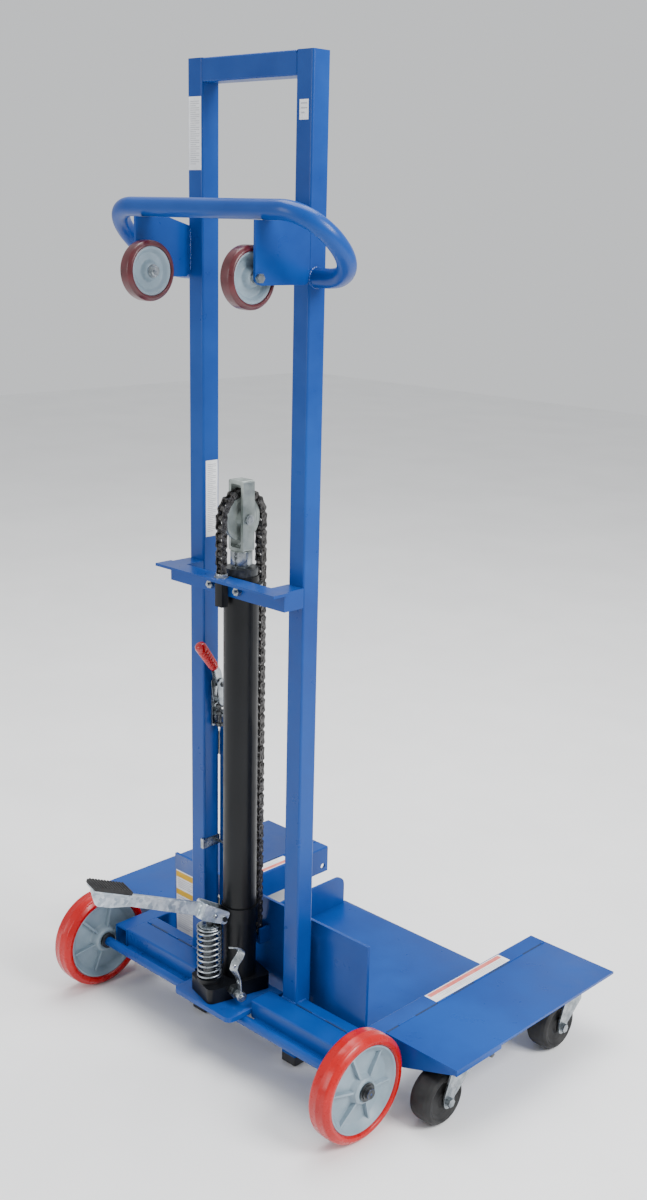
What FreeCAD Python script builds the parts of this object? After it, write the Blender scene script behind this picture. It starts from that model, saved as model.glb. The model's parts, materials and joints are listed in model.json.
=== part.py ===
"""Foot-pumped platform lift truck: a mast and chain lift on two fixed wheels and four swivel casters.

X is across (left is -X), Y is forward (the deck is at +Y) and Z is up from the floor. The origin is
the middle of the whole machine's footprint. Lengths are in millimetres and angles in degrees.
"""
import FreeCAD, Part
import math
import os

import Sketcher
from FreeCAD import Placement, Rotation, Vector

doc = FreeCAD.newDocument("platform_lift")
sheet = doc.addObject("Spreadsheet::Sheet", "Sizes")

SIDES = (("left", -1), ("right", 1))
SLIM = 0.3                      # clearance left between pieces that only pass each other


# ---------------------------------------------------------------- sizes

SIZES = {
    # the whole machine
    "mast_height": 1803.0,          # floor to the top of the top tube
    "front_reach": 539.0,           # mast's rear face to the front end of the side rails
    "rear_reach": 313.0,            # mast's rear face to the pedal's tip
    # mast
    "tube_side": 38.1,
    "tube_wall": 3.0,
    "tube_round": 4.0,
    "mast_pitch": 262.0,            # between the centres of the two mast tubes
    "mast_bottom": 22.0,
    "foot_bottom": 4.0,
    "slot_width": 13.0,
    # base frame
    "rail_top": 139.5,
    "rail_width": 38.0,
    "rail_height": 62.0,
    "rail_wall": 4.5,
    "rail_gap": 590.0,              # between the inner legs of the two side rails
    "rail_behind": 52.0,
    "rail_hole_radius": 6.5,
    "rail_hole_back": 16.0,
    "cross_depth": 50.8,
    "cross_height": 38.1,
    "cross_gap": 164.0,             # between the two rear cross tubes, filled by the pump plate
    "front_cross_depth": 28.0,
    "wing_width": 167.0,
    "wing_plate": 4.8,
    "wing_ahead": 50.0,             # wing's rear edge, ahead of the mast's rear face
    "wing_lip": 12.0,
    "lip_long": 127.0,              # the lip runs along the rear of the wing's outer edge
    "gusset_inner": 66.0,
    "gusset_outer": 10.0,
    # rear wheels and axle
    "rear_radius": 101.6,
    "rear_width": 50.0,
    "rear_track": 740.0,
    "rear_behind": 66.0,
    "rear_tread": 19.0,
    "axle_radius": 9.5,
    "axle_clear": 0.05,
    "tab_width": 42.0,
    "tab_middle": 130.0,
    "tab_side": 262.0,
    # casters
    "caster_radius": 50.8,
    "caster_width": 48.0,
    "caster_across": 438.0,
    "caster_back": 105.0,
    "caster_front": 453.0,
    "caster_trail": 32.0,
    "caster_plate": 4.0,
    "plate_half_x": 47.0,
    "plate_half_y": 42.0,
    "stud_x": 37.0,                 # caster plate studs, either side of the swivel axis
    "stud_y": 32.0,
    "stud_nut": 13.0,
    "raceway_radius": 25.0,
    "crown_half": 26.0,
    "fork_foot": 13.0,              # half the width of a fork leg at the axle bolt
    "fork_wall": 3.5,
    # handle and transport wheels
    "handle_radius": 15.9,
    "handle_half": 254.0,           # centre of the machine to the centre line of a side arm
    "handle_depth": 152.0,
    "handle_tilt": 42.5,
    "handle_height": 1461.0,
    "handle_inset": 15.5,
    "handle_bend_rear": 72.0,
    "handle_bend_front": 76.0,
    "bracket_plate": 5.0,
    "bracket_depth": 118.0,
    "bracket_low": 1450.0,
    "small_radius": 50.0,
    "small_width": 30.0,
    "small_across": 125.0,
    "small_behind": 110.5,
    "small_height": 1461.0,
    "small_tread": 10.0,
    "small_bolt": 4.75,
    # cylinder, ram and chain
    "cylinder_ahead": -8.0,         # cylinder's axis, ahead of the mast's rear face
    "cylinder_radius": 31.75,
    "cylinder_wall": 6.0,
    "cylinder_top": 944.0,
    "gland_high": 14.0,
    "rod_radius": 16.0,
    "rod_clear": 0.1,
    "rod_show": 3.0,
    "collar_radius": 19.0,
    "collar_high": 27.0,
    "sheave_height": 1045.5,
    "chain_gap": 15.25,             # barrel to the chain's pitch line
    "chain_high": 15.0,
    "chain_width": 21.6,
    "sheave_width": 8.5,
    "sheave_clear": 0.1,
    "pin_radius": 6.0,
    "yoke_width": 38.0,
    "yoke_depth": 27.0,
    "yoke_arm": 6.0,
    "yoke_top": 1114.0,
    # brace
    "brace_low": 911.0,
    "brace_high": 946.0,
    "brace_clear": 0.75,            # barrel to the brace's web
    "brace_flange": 31.0,
    "brace_plate": 5.0,
    "brace_over": 6.0,
    "u_bolt_rod": 3.0,
    "u_bolt_clear": 0.5,
    # pump
    "pump_turn": 14.0,
    "plate_half": 82.0,
    "plate_behind": 107.0,
    "plate_thick": 9.5,
    "block_half": 41.0,
    "block_over": 22.0,             # pump block's rear face, behind the spring's axis
    "block_ahead": 48.0,
    "block_high": 30.0,
    "spring_gap": 32.25,            # barrel to the spring's axis
    "spring_radius": 22.5,
    "spring_wire": 4.0,
    "spring_low": 160.0,
    "spring_high": 256.0,
    "plunger_radius": 12.0,
    "plunger_clear": 0.1,
    "stem_radius": 6.0,
    "stem_over": 7.0,               # top of the plunger's stem above the pedal's pivot
    "pedal_gap": 10.25,             # barrel to the pedal's pivot
    "pedal_height": 282.0,
    "pedal_rise": 20.5,
    "pedal_bar": 8.0,
    "pedal_bar_high": 30.0,
    "pedal_pin": 5.0,
    "fork_half": 18.0,
    "pad_long": 72.0,
    "pad_half": 21.0,
    "valve_height": 141.0,
    "valve_ahead": -34.0,
    "valve_long": 40.0,
    "lever_thick": 3.0,
    "lever_width": 16.0,
    # carriage
    "deck_width": 448.0,
    "deck_front": 526.0,
    "deck_low": 24.0,
    "deck_plate": 6.0,
    "lip_high": 76.0,
    "lip_short": 10.0,
    "back_ahead": 59.0,
    "back_width": 547.0,
    "back_top": 285.0,
    "upright_width": 22.0,
    "upright_top": 640.0,
    "shoe_clear": 0.8,
    "lug_height": 205.0,
    # toggle clamp and clip on the left mast tube
    "clamp_height": 620.0,
    "clamp_pivot": 708.0,
    "clamp_out": 14.0,              # mast's inner face to the middle of the lever
    "clamp_ahead": 25.0,            # mast's rear face to the lever's pivot
    "clamp_lean": 36.0,
    "grip_offset": 11.0,            # lever's pivot to the grip's axis, across the lever
    "grip_start": 32.0,
    "grip_end": 99.0,
    "grip_radius": 10.5,
    "link_thick": 12.0,
    "link_pin": 3.0,
    "ear_plate": 2.5,
    "ear_half": 11.0,
    "ear_low": 40.0,
    "clip_height": 380.0,
    "clip_half": 10.0,
    "clip_hook": 6.0,
    "finger_long": 32.0,
}

for row, (alias, value) in enumerate(SIZES.items(), start=1):
    sheet.set(f"A{row}", alias.replace("_", " "))
    sheet.set(f"B{row}", str(value))
    sheet.setAlias(f"B{row}", alias)
doc.recompute()


class Size:
    """A size: its value now, and the expression over the sheet's cells that gives it."""

    def __init__(self, value, text):
        self.value = value
        self.text = text

    def __add__(self, other):
        other = as_size(other)
        return Size(self.value + other.value, f"({self.text} + {other.text})")

    def __sub__(self, other):
        other = as_size(other)
        return Size(self.value - other.value, f"({self.text} - {other.text})")

    def __mul__(self, other):
        other = as_size(other)
        return Size(self.value * other.value, f"({self.text} * {other.text})")

    def __truediv__(self, other):
        other = as_size(other)
        return Size(self.value / other.value, f"({self.text} / {other.text})")

    def __neg__(self):
        return Size(-self.value, f"(0 - {self.text})")

    def __radd__(self, other):
        return as_size(other) + self

    def __rsub__(self, other):
        return as_size(other) - self

    def __rmul__(self, other):
        return as_size(other) * self


def as_size(number):
    """A plain number as a Size."""
    if isinstance(number, Size):
        return number
    return Size(float(number), f"({float(number)})")


def cell(alias):
    """The size kept in one cell of the sheet."""
    return Size(SIZES[alias], f"Sizes.{alias}")


def cosine(angle):
    return Size(math.cos(math.radians(angle.value)), f"cos({angle.text})")


def sine(angle):
    return Size(math.sin(math.radians(angle.value)), f"sin({angle.text})")


# ---------------------------------------------------------------- making solids

def bind(item, path, size):
    """Tie one property of an object to the sheet."""
    item.setExpression(path, as_size(size).text)


def move(item, x=0, y=0, z=0):
    """Place an object at a point worked out from the sheet."""
    for letter, size in (("x", x), ("y", y), ("z", z)):
        bind(item, f"Placement.Base.{letter}", size)
    return item


def turn(item, axis, angle):
    """Turn an object about its own origin, by an angle worked out from the sheet."""
    item.Placement = Placement(item.Placement.Base, Rotation(axis, as_size(angle).value))
    bind(item, "Placement.Rotation.Angle", angle)
    return item


def box(name, x, y, z):
    """A block between two places on each axis, given as (low, high) pairs."""
    item = doc.addObject("Part::Box", name)
    for prop, (low, high) in (("Length", x), ("Width", y), ("Height", z)):
        bind(item, prop, as_size(high) - low)
    return move(item, x[0], y[0], z[0])


ROUND_AXES = {
    "x": Rotation(Vector(0, 1, 0), 90),
    "y": Rotation(Vector(1, 0, 0), -90),
    "z": Rotation(),
}


def rod(name, along, low, high, radius, x=0, y=0, z=0):
    """A round bar along one axis, from low to high on that axis."""
    item = doc.addObject("Part::Cylinder", name)
    bind(item, "Radius", radius)
    bind(item, "Height", as_size(high) - low)
    item.Placement = Placement(Vector(), ROUND_AXES[along])
    start = {"x": x, "y": y, "z": z}
    start[along] = low
    return move(item, **start)


def fuse(name, *pieces):
    """Weld pieces into one solid."""
    item = doc.addObject("Part::MultiFuse", name)
    item.Shapes = list(pieces)
    item.Refine = True
    return item


def cut(name, base, *tools):
    """Take tools away from a base."""
    item = doc.addObject("Part::Cut", name)
    item.Base = base
    item.Tool = tools[0] if len(tools) == 1 else fuse(f"{name}_tools", *tools)
    item.Refine = True
    return item


def group(name, *pieces):
    """Keep separate solids together under one name."""
    item = doc.addObject("Part::Compound", name)
    item.Links = list(pieces)
    return item


SKETCH_PLANES = {"x": ("YZ_Plane", 1), "y": ("XZ_Plane", -1), "z": ("XY_Plane", 1)}


def new_sketch(body, name, along, height=0):
    """A sketch on the body's own plane that faces along an axis, at a height on that axis."""
    role, sign = SKETCH_PLANES[along]
    plane = [feature for feature in body.Origin.OriginFeatures if feature.Role == role][0]
    sketch = body.newObject("Sketcher::SketchObject", name)
    sketch.AttachmentSupport = [(plane, "")]
    sketch.MapMode = "FlatFace"
    bind(sketch, "AttachmentOffset.Base.z", as_size(height) * sign)
    return sketch


def add_bound(sketch, constraints):
    """Add (constraint, size) pairs, each tied to the sheet where it has a size."""
    numbers = sketch.addConstraint([constraint for constraint, _ in constraints])
    for number, (_, size) in zip(numbers, constraints):
        if size is not None:
            bind(sketch, f"Constraints[{number}]", size)


def pin_point(point, x, y):
    """Constraints that hold one sketch point at (x, y), whatever the sizes become."""
    pairs = []
    for kind, size in (("DistanceX", x), ("DistanceY", y)):
        size = as_size(size)
        pairs.append((Sketcher.Constraint(kind, -1, 1, *point, size.value), size))
    return pairs


def draw(sketch, corners, closed=True):
    """Draw straight edges through corners (x, y) or (x, y, radius), each bound to its sizes."""
    count = len(corners)
    places = [Vector(as_size(c[0]).value, as_size(c[1]).value, 0) for c in corners]
    entries, exits, arcs = list(places), list(places), {}
    for i, corner in enumerate(corners):
        if len(corner) < 3:
            continue
        radius = as_size(corner[2]).value
        before = (places[i - 1] - places[i]).normalize()
        after = (places[(i + 1) % count] - places[i]).normalize()
        half = before.getAngle(after) / 2
        entries[i] = places[i] + before * (radius / math.tan(half))
        exits[i] = places[i] + after * (radius / math.tan(half))
        inward = (before + after).normalize()
        middle = places[i] + inward * (radius / math.sin(half) - radius)
        turns_left = before.cross(after).z < 0
        arcs[i] = (Part.Arc(entries[i], middle, exits[i]), turns_left)
    last = count if closed else count - 1
    lines = {i: sketch.addGeometry(Part.LineSegment(exits[i],
                                                    entries[(i + 1) % count])) for i in range(last)}
    pairs = []
    for i, corner in enumerate(corners):
        arriving = lines.get((i - 1) % count) if closed or i > 0 else None
        leaving = lines.get(i)
        if i in arcs:
            arc, turns_left = arcs[i]
            curve = sketch.addGeometry(arc)
            point = sketch.addGeometry(Part.Point(places[i]), True)
            first, second = (1, 2) if turns_left else (2, 1)
            pairs.append((Sketcher.Constraint("Tangent", arriving, 2, curve, first), None))
            pairs.append((Sketcher.Constraint("Tangent", curve, second, leaving, 1), None))
            pairs.append((Sketcher.Constraint("PointOnObject", point, 1, arriving), None))
            pairs.append((Sketcher.Constraint("PointOnObject", point, 1, leaving), None))
            radius = as_size(corner[2])
            pairs.append((Sketcher.Constraint("Radius", curve, radius.value), radius))
            pairs += pin_point((point, 1), corner[0], corner[1])
        elif leaving is None:
            pairs += pin_point((arriving, 2), corner[0], corner[1])
        else:
            if arriving is not None:
                pairs.append((Sketcher.Constraint("Coincident", arriving, 2, leaving, 1), None))
            pairs += pin_point((leaving, 1), corner[0], corner[1])
    add_bound(sketch, pairs)


def draw_circle(sketch, x, y, radius):
    """Draw a circle bound to its centre and radius."""
    centre = Vector(as_size(x).value, as_size(y).value, 0)
    radius = as_size(radius)
    curve = sketch.addGeometry(Part.Circle(centre, Vector(0, 0, 1), radius.value))
    pairs = [(Sketcher.Constraint("Radius", curve, radius.value), radius)]
    add_bound(sketch, pairs + pin_point((curve, 3), x, y))


def extrude(name, along, low, high, *outlines, holes=()):
    """A body padded along an axis from low to high, with any inner outlines and round holes left open.

    Outlines are in (x, y) for along z, (x, z) for along y and (y, z) for along x.
    """
    body = doc.addObject("PartDesign::Body", name)
    start = high if along == "y" else low
    sketch = new_sketch(body, f"{name}_outline", along, start)
    for outline in outlines:
        draw(sketch, outline)
    for hole in holes:
        draw_circle(sketch, *hole)
    pad = body.newObject("PartDesign::Pad", f"{name}_pad")
    pad.Profile = sketch
    bind(pad, "Length", as_size(high) - low)
    return body


def turned(name, along, outline):
    """A body turned about the X or Z axis through its own origin; the outline is (along, radius)."""
    body = doc.addObject("PartDesign::Body", name)
    if along == "x":
        sketch = new_sketch(body, f"{name}_outline", "z")
        draw(sketch, outline)
        axis = "H_Axis"
    else:
        sketch = new_sketch(body, f"{name}_outline", "y")
        draw(sketch, [(corner[1], corner[0]) + tuple(corner[2:]) for corner in reversed(outline)])
        axis = "V_Axis"
    spin = body.newObject("PartDesign::Revolution", f"{name}_turned")
    spin.Profile = sketch
    spin.ReferenceAxis = (sketch, [axis])
    spin.Angle = 360
    return body


def rectangle(x, y, radius=None):
    """Corners of a rectangle from (low, high) pairs, with rounded corners if a radius is given."""
    corners = [(x[0], y[0]), (x[1], y[0]), (x[1], y[1]), (x[0], y[1])]
    return [corner + (radius,) for corner in corners] if radius is not None else corners


def shrink(pair, by):
    """A (low, high) pair drawn in at both ends."""
    return (pair[0] + by, pair[1] - by)


def span(side, inner, outer):
    """The (low, high) pair on X that runs from inner to outer on one side of the machine."""
    return (inner, outer) if side > 0 else (-outer, -inner)


def hexagon(x, y, across):
    """Corners of a hexagon with the given size across its flats."""
    reach = as_size(across) / math.sqrt(3)
    angles = [math.radians(60 * k) for k in range(6)]
    return [(x + reach * math.cos(a), y + reach * math.sin(a)) for a in angles]


def hex_head(name, along, low, high, across, a, b):
    """A hexagonal head or nut along an axis, centred at (a, b) in the plane across it."""
    return extrude(name, along, low, high, hexagon(as_size(a), as_size(b), across))


def square_tube(name, along, low, high, x, y, wall, radius):
    """A tube of rectangular section with rounded corners."""
    inner = rectangle(shrink(x, wall), shrink(y, wall), radius - wall * 0.75)
    return extrude(name, along, low, high, rectangle(x, y, radius), inner)


def on_pump(item):
    """Place a piece made about the cylinder's axis where the turned pump stands."""
    item = turn(item, Vector(0, 0, -1), cell("pump_turn"))
    return move(item, 0, mast_y + cell("cylinder_ahead"), 0)


# ---------------------------------------------------------------- shared places

mast_y = (cell("rear_reach") - cell("front_reach")) / 2      # the mast tubes' rear face
tube = cell("tube_side")
mast_x = cell("mast_pitch") / 2
mast_inner = mast_x - tube / 2
mast_outer = mast_x + tube / 2
mast_front = mast_y + tube
rail_inner = cell("rail_gap") / 2
rail_outer = rail_inner + cell("rail_width")
rail_low = cell("rail_top") - cell("rail_height")
front_end = mast_y + cell("front_reach")
axle_y = mast_y - cell("rear_behind")
axle_z = cell("rear_radius")
cylinder_y = mast_y + cell("cylinder_ahead")
plate_top = axle_z + cell("axle_radius") + 0.4 + cell("plate_thick")
block_top = plate_top + cell("block_high")
gland_top = cell("cylinder_top") + cell("gland_high")
collar_low = gland_top + cell("rod_show")
collar_top = collar_low + cell("collar_high")
chain_half = cell("chain_high") / 2
back_y = mast_y + cell("back_ahead")
deck_x = cell("deck_width") / 2
caster_plate_top = cell("rail_top") - cell("wing_plate")
chain_radius = cell("cylinder_radius") + cell("chain_gap")
brace_y = cylinder_y - cell("cylinder_radius") - cell("brace_clear") - cell("brace_plate")
spring_behind = cell("cylinder_radius") + cell("spring_gap")
block_behind = spring_behind + cell("block_over")
pedal_back = cell("cylinder_radius") + cell("pedal_gap")


# ---------------------------------------------------------------- mast

def make_mast():
    """Two slotted square tubes, the tube across their top, and the plugs they stand on."""
    made = {}
    top = cell("mast_height")
    for side_name, side in SIDES:
        centre = mast_x * side
        across = (centre - tube / 2, centre + tube / 2)
        depth = (mast_y, mast_front)
        name = f"mast_{side_name}"
        blank = square_tube(f"{name}_tube", "z", cell("mast_bottom"), top, across, depth,
                            cell("tube_wall"), cell("tube_round"))
        half_slot = cell("slot_width") / 2
        slot = box(f"{name}_slot", (centre - half_slot, centre + half_slot),
                   (mast_front - cell("tube_wall") * 1.5, mast_front + 1),
                   (plate_top + 20, top - tube - 20))
        made[name] = cut(name, blank, slot)
    made["mast_top_tube"] = square_tube("mast_top_tube", "x", -mast_inner, mast_inner,
                                        (mast_y, mast_front), (top - tube, top),
                                        cell("tube_wall"), cell("tube_round"))
    plugs = []
    for side_name, side in SIDES:
        centre = mast_x * side
        plug_half = tube / 2 - cell("tube_wall")
        middle = mast_y + tube / 2
        cap = extrude(f"foot_cap_{side_name}", "z", cell("foot_bottom"), cell("mast_bottom"),
                      rectangle((centre - tube / 2, centre + tube / 2), (mast_y, mast_front),
                                cell("tube_round")))
        core = extrude(f"foot_core_{side_name}", "z", cell("mast_bottom"), cell("mast_bottom") + 14,
                       rectangle((centre - plug_half, centre + plug_half),
                                 (middle - plug_half, middle + plug_half), 2.0))
        plugs.append(fuse(f"foot_{side_name}", cap, core))
    made["mast_feet"] = group("mast_feet", *plugs)
    return made


# ---------------------------------------------------------------- base frame

def make_rails():
    """The side rails: channels open underneath, with a cross hole near the front."""
    made = {}
    wall = cell("rail_wall")
    low, top = rail_low, cell("rail_top")
    for side_name, side in SIDES:
        name = f"side_rail_{side_name}"
        x_in, x_out = rail_inner * side, rail_outer * side
        step = wall * side
        outline = [(x_in, low), (x_in + step, low), (x_in + step, top - wall), (x_out - step, top - wall),
                   (x_out - step, low), (x_out, low), (x_out, top, 3.0), (x_in, top, 3.0)]
        channel = extrude(f"{name}_channel", "y", mast_y - cell("rail_behind"), front_end, outline)
        reach = span(side, rail_inner - 1, rail_outer + 1)
        hole = rod(f"{name}_hole", "x", reach[0], reach[1], cell("rail_hole_radius"),
                   y=front_end - cell("rail_hole_back"), z=low + cell("rail_hole_back"))
        made[name] = cut(name, channel, hole)
    return made


def make_wings():
    """The flat wings over the casters, each with a lip along part of its edge and a gusset at its rear."""
    made = {}
    plate = cell("wing_plate")
    top = cell("rail_top")
    rear = mast_y + cell("wing_ahead")
    outer = rail_outer + cell("wing_width")
    for side_name, side in SIDES:
        name = f"wing_{side_name}"
        sheet_x = span(side, rail_outer, outer)
        lip_x = span(side, outer - plate, outer)
        top_plate = box(f"{name}_top", sheet_x, (rear, front_end), (top - plate, top))
        lip = box(f"{name}_lip", lip_x, (rear, rear + cell("lip_long")), (top - cell("wing_lip"), top))
        x_in, x_out = rail_outer * side, outer * side
        gusset = extrude(f"{name}_gusset", "y", rear, rear + plate,
                         [(x_in, top - cell("gusset_inner")), (x_out, top - cell("gusset_outer")),
                          (x_out, top), (x_in, top)])
        made[name] = fuse(name, top_plate, lip, gusset)
    return made


def make_cross_tubes():
    """The four tubes across the base: a pair either side of the pump, and a pair outside the mast."""
    low, top = cell("rail_top") - cell("cross_height"), cell("rail_top")
    pieces = []
    for side_name, side in SIDES:
        rear_x = span(side, cell("cross_gap") / 2, rail_inner)
        front_x = span(side, mast_outer, rail_inner)
        rear_y = (mast_y - cell("cross_depth"), mast_y)
        front_y = (mast_y, mast_y + cell("front_cross_depth"))
        for row, (across, depth) in (("rear", (rear_x, rear_y)), ("front", (front_x, front_y))):
            pieces.append(square_tube(f"cross_{row}_{side_name}", "x", across[0], across[1], depth,
                                      (low, top),
                                      cell("tube_wall"), cell("tube_round")))
    return {"cross_tubes": group("cross_tubes", *pieces)}


def make_rear_axle():
    """The fixed axle rod with its four welded tabs, and the washers and rings that keep the wheels on."""
    radius = cell("axle_radius")
    half_track = cell("rear_track") / 2
    end = half_track + cell("rear_width") / 2 + 11
    bar = rod("axle_bar", "x", -end, end, radius, y=axle_y, z=axle_z)
    tabs = []
    for side_name, side in SIDES:
        for place in ("tab_middle", "tab_side"):
            centre = cell(place) * side
            half = cell("tab_width") / 2
            tabs.append(box(f"{place}_{side_name}", (centre - half, centre + half),
                            (axle_y, mast_y - cell("cross_depth")),
                            (axle_z + 1, axle_z + 7)))
    rings = []
    for side_name, side in SIDES:
        face = half_track + cell("rear_width") / 2
        for kind, start, wide, reach in (("washer", 0.4, 2.0, 8.0), ("ring", 2.8, 3.0, 4.5)):
            low, high = span(side, face + start, face + start + wide)
            disc = rod(f"{kind}_disc_{side_name}", "x", low, high, radius + reach, y=axle_y, z=axle_z)
            bore = rod(f"{kind}_bore_{side_name}", "x", low - 1, high + 1, radius, y=axle_y, z=axle_z)
            rings.append(cut(f"{kind}_{side_name}", disc, bore))
        low, high = span(side, face - cell("rear_width") - 6, face - cell("rear_width") - 0.4)
        collar = rod(f"collar_disc_{side_name}", "x", low, high, radius + 6, y=axle_y, z=axle_z)
        bore = rod(f"collar_bore_{side_name}", "x", low - 1, high + 1, radius, y=axle_y, z=axle_z)
        rings.append(cut(f"collar_{side_name}", collar, bore))
    return {"rear_axle": fuse("rear_axle", bar, *tabs), "axle_retainers": group("axle_retainers", *rings)}


def make_caster_plates():
    """Four caster top plates under the wings, each with its four bolts."""
    pieces = []
    plate = cell("caster_plate")
    for side_name, side in SIDES:
        for row in ("back", "front"):
            x = cell("caster_across") * side
            y = mast_y + cell(f"caster_{row}")
            name = f"caster_plate_{row}_{side_name}"
            slab = extrude(name, "z", caster_plate_top - plate, caster_plate_top,
                           rectangle((x - cell("plate_half_x"), x + cell("plate_half_x")),
                                     (y - cell("plate_half_y"), y + cell("plate_half_y")), 5.0))
            pieces.append(slab)
            for i, along in enumerate((-cell("stud_y"), cell("stud_y"))):
                for j, across in enumerate((-cell("stud_x"), cell("stud_x"))):
                    low = caster_plate_top - plate
                    pieces.append(hex_head(f"{name}_nut_{i}{j}", "z", low - 7, low, cell("stud_nut"),
                                           x + across, y + along))
    return {"caster_plates": group("caster_plates", *pieces)}


# ---------------------------------------------------------------- wheels and casters

def make_rear_wheels():
    """Rear wheels: a poly tyre on a moulded rim with a hub that turns on the axle rod."""
    made = {}
    half = cell("rear_width") / 2
    outer = cell("rear_radius")
    seat = outer - cell("rear_tread")
    tread = half - 5
    bore = cell("axle_radius") + cell("axle_clear")
    for side_name, side in SIDES:
        centre = cell("rear_track") / 2 * side
        tyre = turned(f"rear_tyre_{side_name}", "x",
                      [(-tread, seat), (tread, seat), (half, outer - 11, 4.0), (tread, outer, 7.0),
                       (-tread, outer, 7.0), (-half, outer - 11, 4.0)])
        rim = turned(f"rear_rim_{side_name}", "x",
                     [(-half, bore), (half, bore), (half, bore + 10, 2.0), (7, bore + 16, 3.0),
                      (5, seat - 12, 3.0),
                      (half - 6, seat - 8, 2.0), (tread, seat), (-tread, seat), (6 - half, seat - 8, 2.0),
                      (-5, seat - 12, 3.0), (-7, bore + 16, 3.0), (-half, bore + 10, 2.0)])
        for piece in (tyre, rim):
            made[piece.Name] = move(piece, centre, axle_y, axle_z)
    return made


def make_transport_wheels():
    """The two small wheels at the top that carry the machine when it is tipped flat."""
    made = {}
    half = cell("small_width") / 2
    outer = cell("small_radius")
    seat = outer - cell("small_tread")
    bore = cell("small_bolt") + cell("axle_clear")
    y = mast_y - cell("small_behind")
    z = cell("small_height")
    bolts = []
    for side_name, side in SIDES:
        centre = cell("small_across") * side
        tyre = turned(f"transport_tyre_{side_name}", "x",
                      [(3 - half, seat), (half - 3, seat), (half, outer - 6, 2.0), (half - 4, outer, 3.0),
                       (4 - half, outer, 3.0), (-half, outer - 6, 2.0)])
        rim = turned(f"transport_rim_{side_name}", "x",
                     [(-half, bore), (half, bore), (half, bore + 6, 1.5), (5, bore + 9, 2.0),
                      (4, seat - 7, 2.0),
                      (half - 4, seat - 4, 1.0), (half - 3, seat), (3 - half, seat),
                      (4 - half, seat - 4, 1.0),
                      (-4, seat - 7, 2.0), (-5, bore + 9, 2.0), (-half, bore + 6, 1.5)])
        for piece in (tyre, rim):
            made[piece.Name] = move(piece, centre, y, z)
        bracket_out = mast_outer
        shank = span(side, cell("small_across") - half - 9, bracket_out + 5)
        inner = span(side, cell("small_across") - half - 6, cell("small_across") - half - 0.5)
        outer_head = span(side, bracket_out, bracket_out + 6)
        spacer = span(side, cell("small_across") + half + 0.3, bracket_out - cell("bracket_plate"))
        parts = [rod(f"small_shank_{side_name}", "x", shank[0], shank[1], cell("small_bolt"), y=y, z=z),
                 hex_head(f"small_nut_{side_name}", "x", inner[0], inner[1], 14.0, y, z),
                 hex_head(f"small_head_{side_name}", "x", outer_head[0], outer_head[1], 14.0, y, z),
                 rod(f"small_spacer_{side_name}", "x", spacer[0], spacer[1], 8.0, y=y, z=z)]
        bolts.append(fuse(f"transport_bolt_{side_name}", *parts))
    made["transport_bolts"] = group("transport_bolts", *bolts)
    return made


def make_casters():
    """Four swivel casters: a fork with its raceway and axle bolt, and a rubber wheel."""
    made = {}
    radius = cell("caster_radius")
    half = cell("caster_width") / 2
    wall = cell("fork_wall")
    leg_in = half + 3
    leg_out = leg_in + wall
    race_top = caster_plate_top - cell("caster_plate") - SLIM
    crown_low = radius * 2 + 5
    crown_half = cell("crown_half")
    foot = cell("fork_foot")
    for side_name, side in SIDES:
        for row in ("back", "front"):
            name = f"{row}_{side_name}"
            x = cell("caster_across") * side
            y = mast_y + cell(f"caster_{row}")
            back = -cell("caster_trail")
            crown_high = crown_low + wall
            crown = box(f"fork_crown_{name}", (-leg_out, leg_out), (-crown_half, crown_half),
                        (crown_low, crown_high))
            legs = []
            for end, low, high in (("a", -leg_out, -leg_in), ("b", leg_in, leg_out)):
                outline = [(-crown_half, crown_high), (back - foot, radius + foot),
                           (back - foot, radius - foot, 12.0),
                           (back + foot, radius - foot, 12.0), (back + foot + 2, radius + 4),
                           (crown_half, crown_low - 16), (crown_half, crown_high)]
                legs.append(extrude(f"fork_leg_{end}_{name}", "x", low, high, outline))
            race = rod(f"fork_race_{name}", "z", crown_high, race_top, cell("raceway_radius"))
            bolt = rod(f"fork_bolt_{name}", "x", -leg_out - 5, leg_out + 5, 5.0, y=back, z=radius)
            heads = [hex_head(f"fork_nut_{end}_{name}", "x", low, high, 15.0, back, radius)
                     for end, low, high in (("a", -leg_out - 7, -leg_out), ("b", leg_out, leg_out + 7))]
            fork = fuse(f"caster_fork_{name}", crown, race, bolt, *legs, *heads)
            made[fork.Name] = move(fork, x, y, 0)
            wheel = turned(f"caster_wheel_{name}", "x",
                           [(-half, 5.05), (half, 5.05), (half, 16), (half - 6, 20), (half - 6, radius - 14),
                            (half, radius - 10), (half, radius - 6, 3.0), (half - 7, radius, 6.0),
                            (7 - half, radius, 6.0), (-half, radius - 6, 3.0), (-half, radius - 10),
                            (6 - half, radius - 14), (6 - half, 20), (-half, 16)])
            made[wheel.Name] = move(wheel, x, y + back, radius)
    return made


# ---------------------------------------------------------------- handle and brackets

def make_handle():
    """The looped push handle, bent from one round tube and welded to the outside of the mast."""
    body = doc.addObject("PartDesign::Body", "push_handle")
    half, depth = cell("handle_half"), cell("handle_depth")
    rear, front = cell("handle_bend_rear"), cell("handle_bend_front")
    path = new_sketch(body, "handle_path", "z")
    draw(path, [(mast_outer, 0), (half, 0, front), (half, -depth, rear), (-half, -depth, rear),
                (-half, 0, front), (-mast_outer, 0)], closed=False)
    ring = new_sketch(body, "handle_ring", "x", mast_outer)
    draw_circle(ring, 0, 0, cell("handle_radius"))
    pipe = body.newObject("PartDesign::AdditivePipe", "handle_pipe")
    pipe.Profile = ring
    pipe.Spine = (path, [])
    turn(body, Vector(-1, 0, 0), cell("handle_tilt"))
    move(body, 0, mast_y + cell("handle_inset"), cell("handle_height"))
    return {"push_handle": body}


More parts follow.
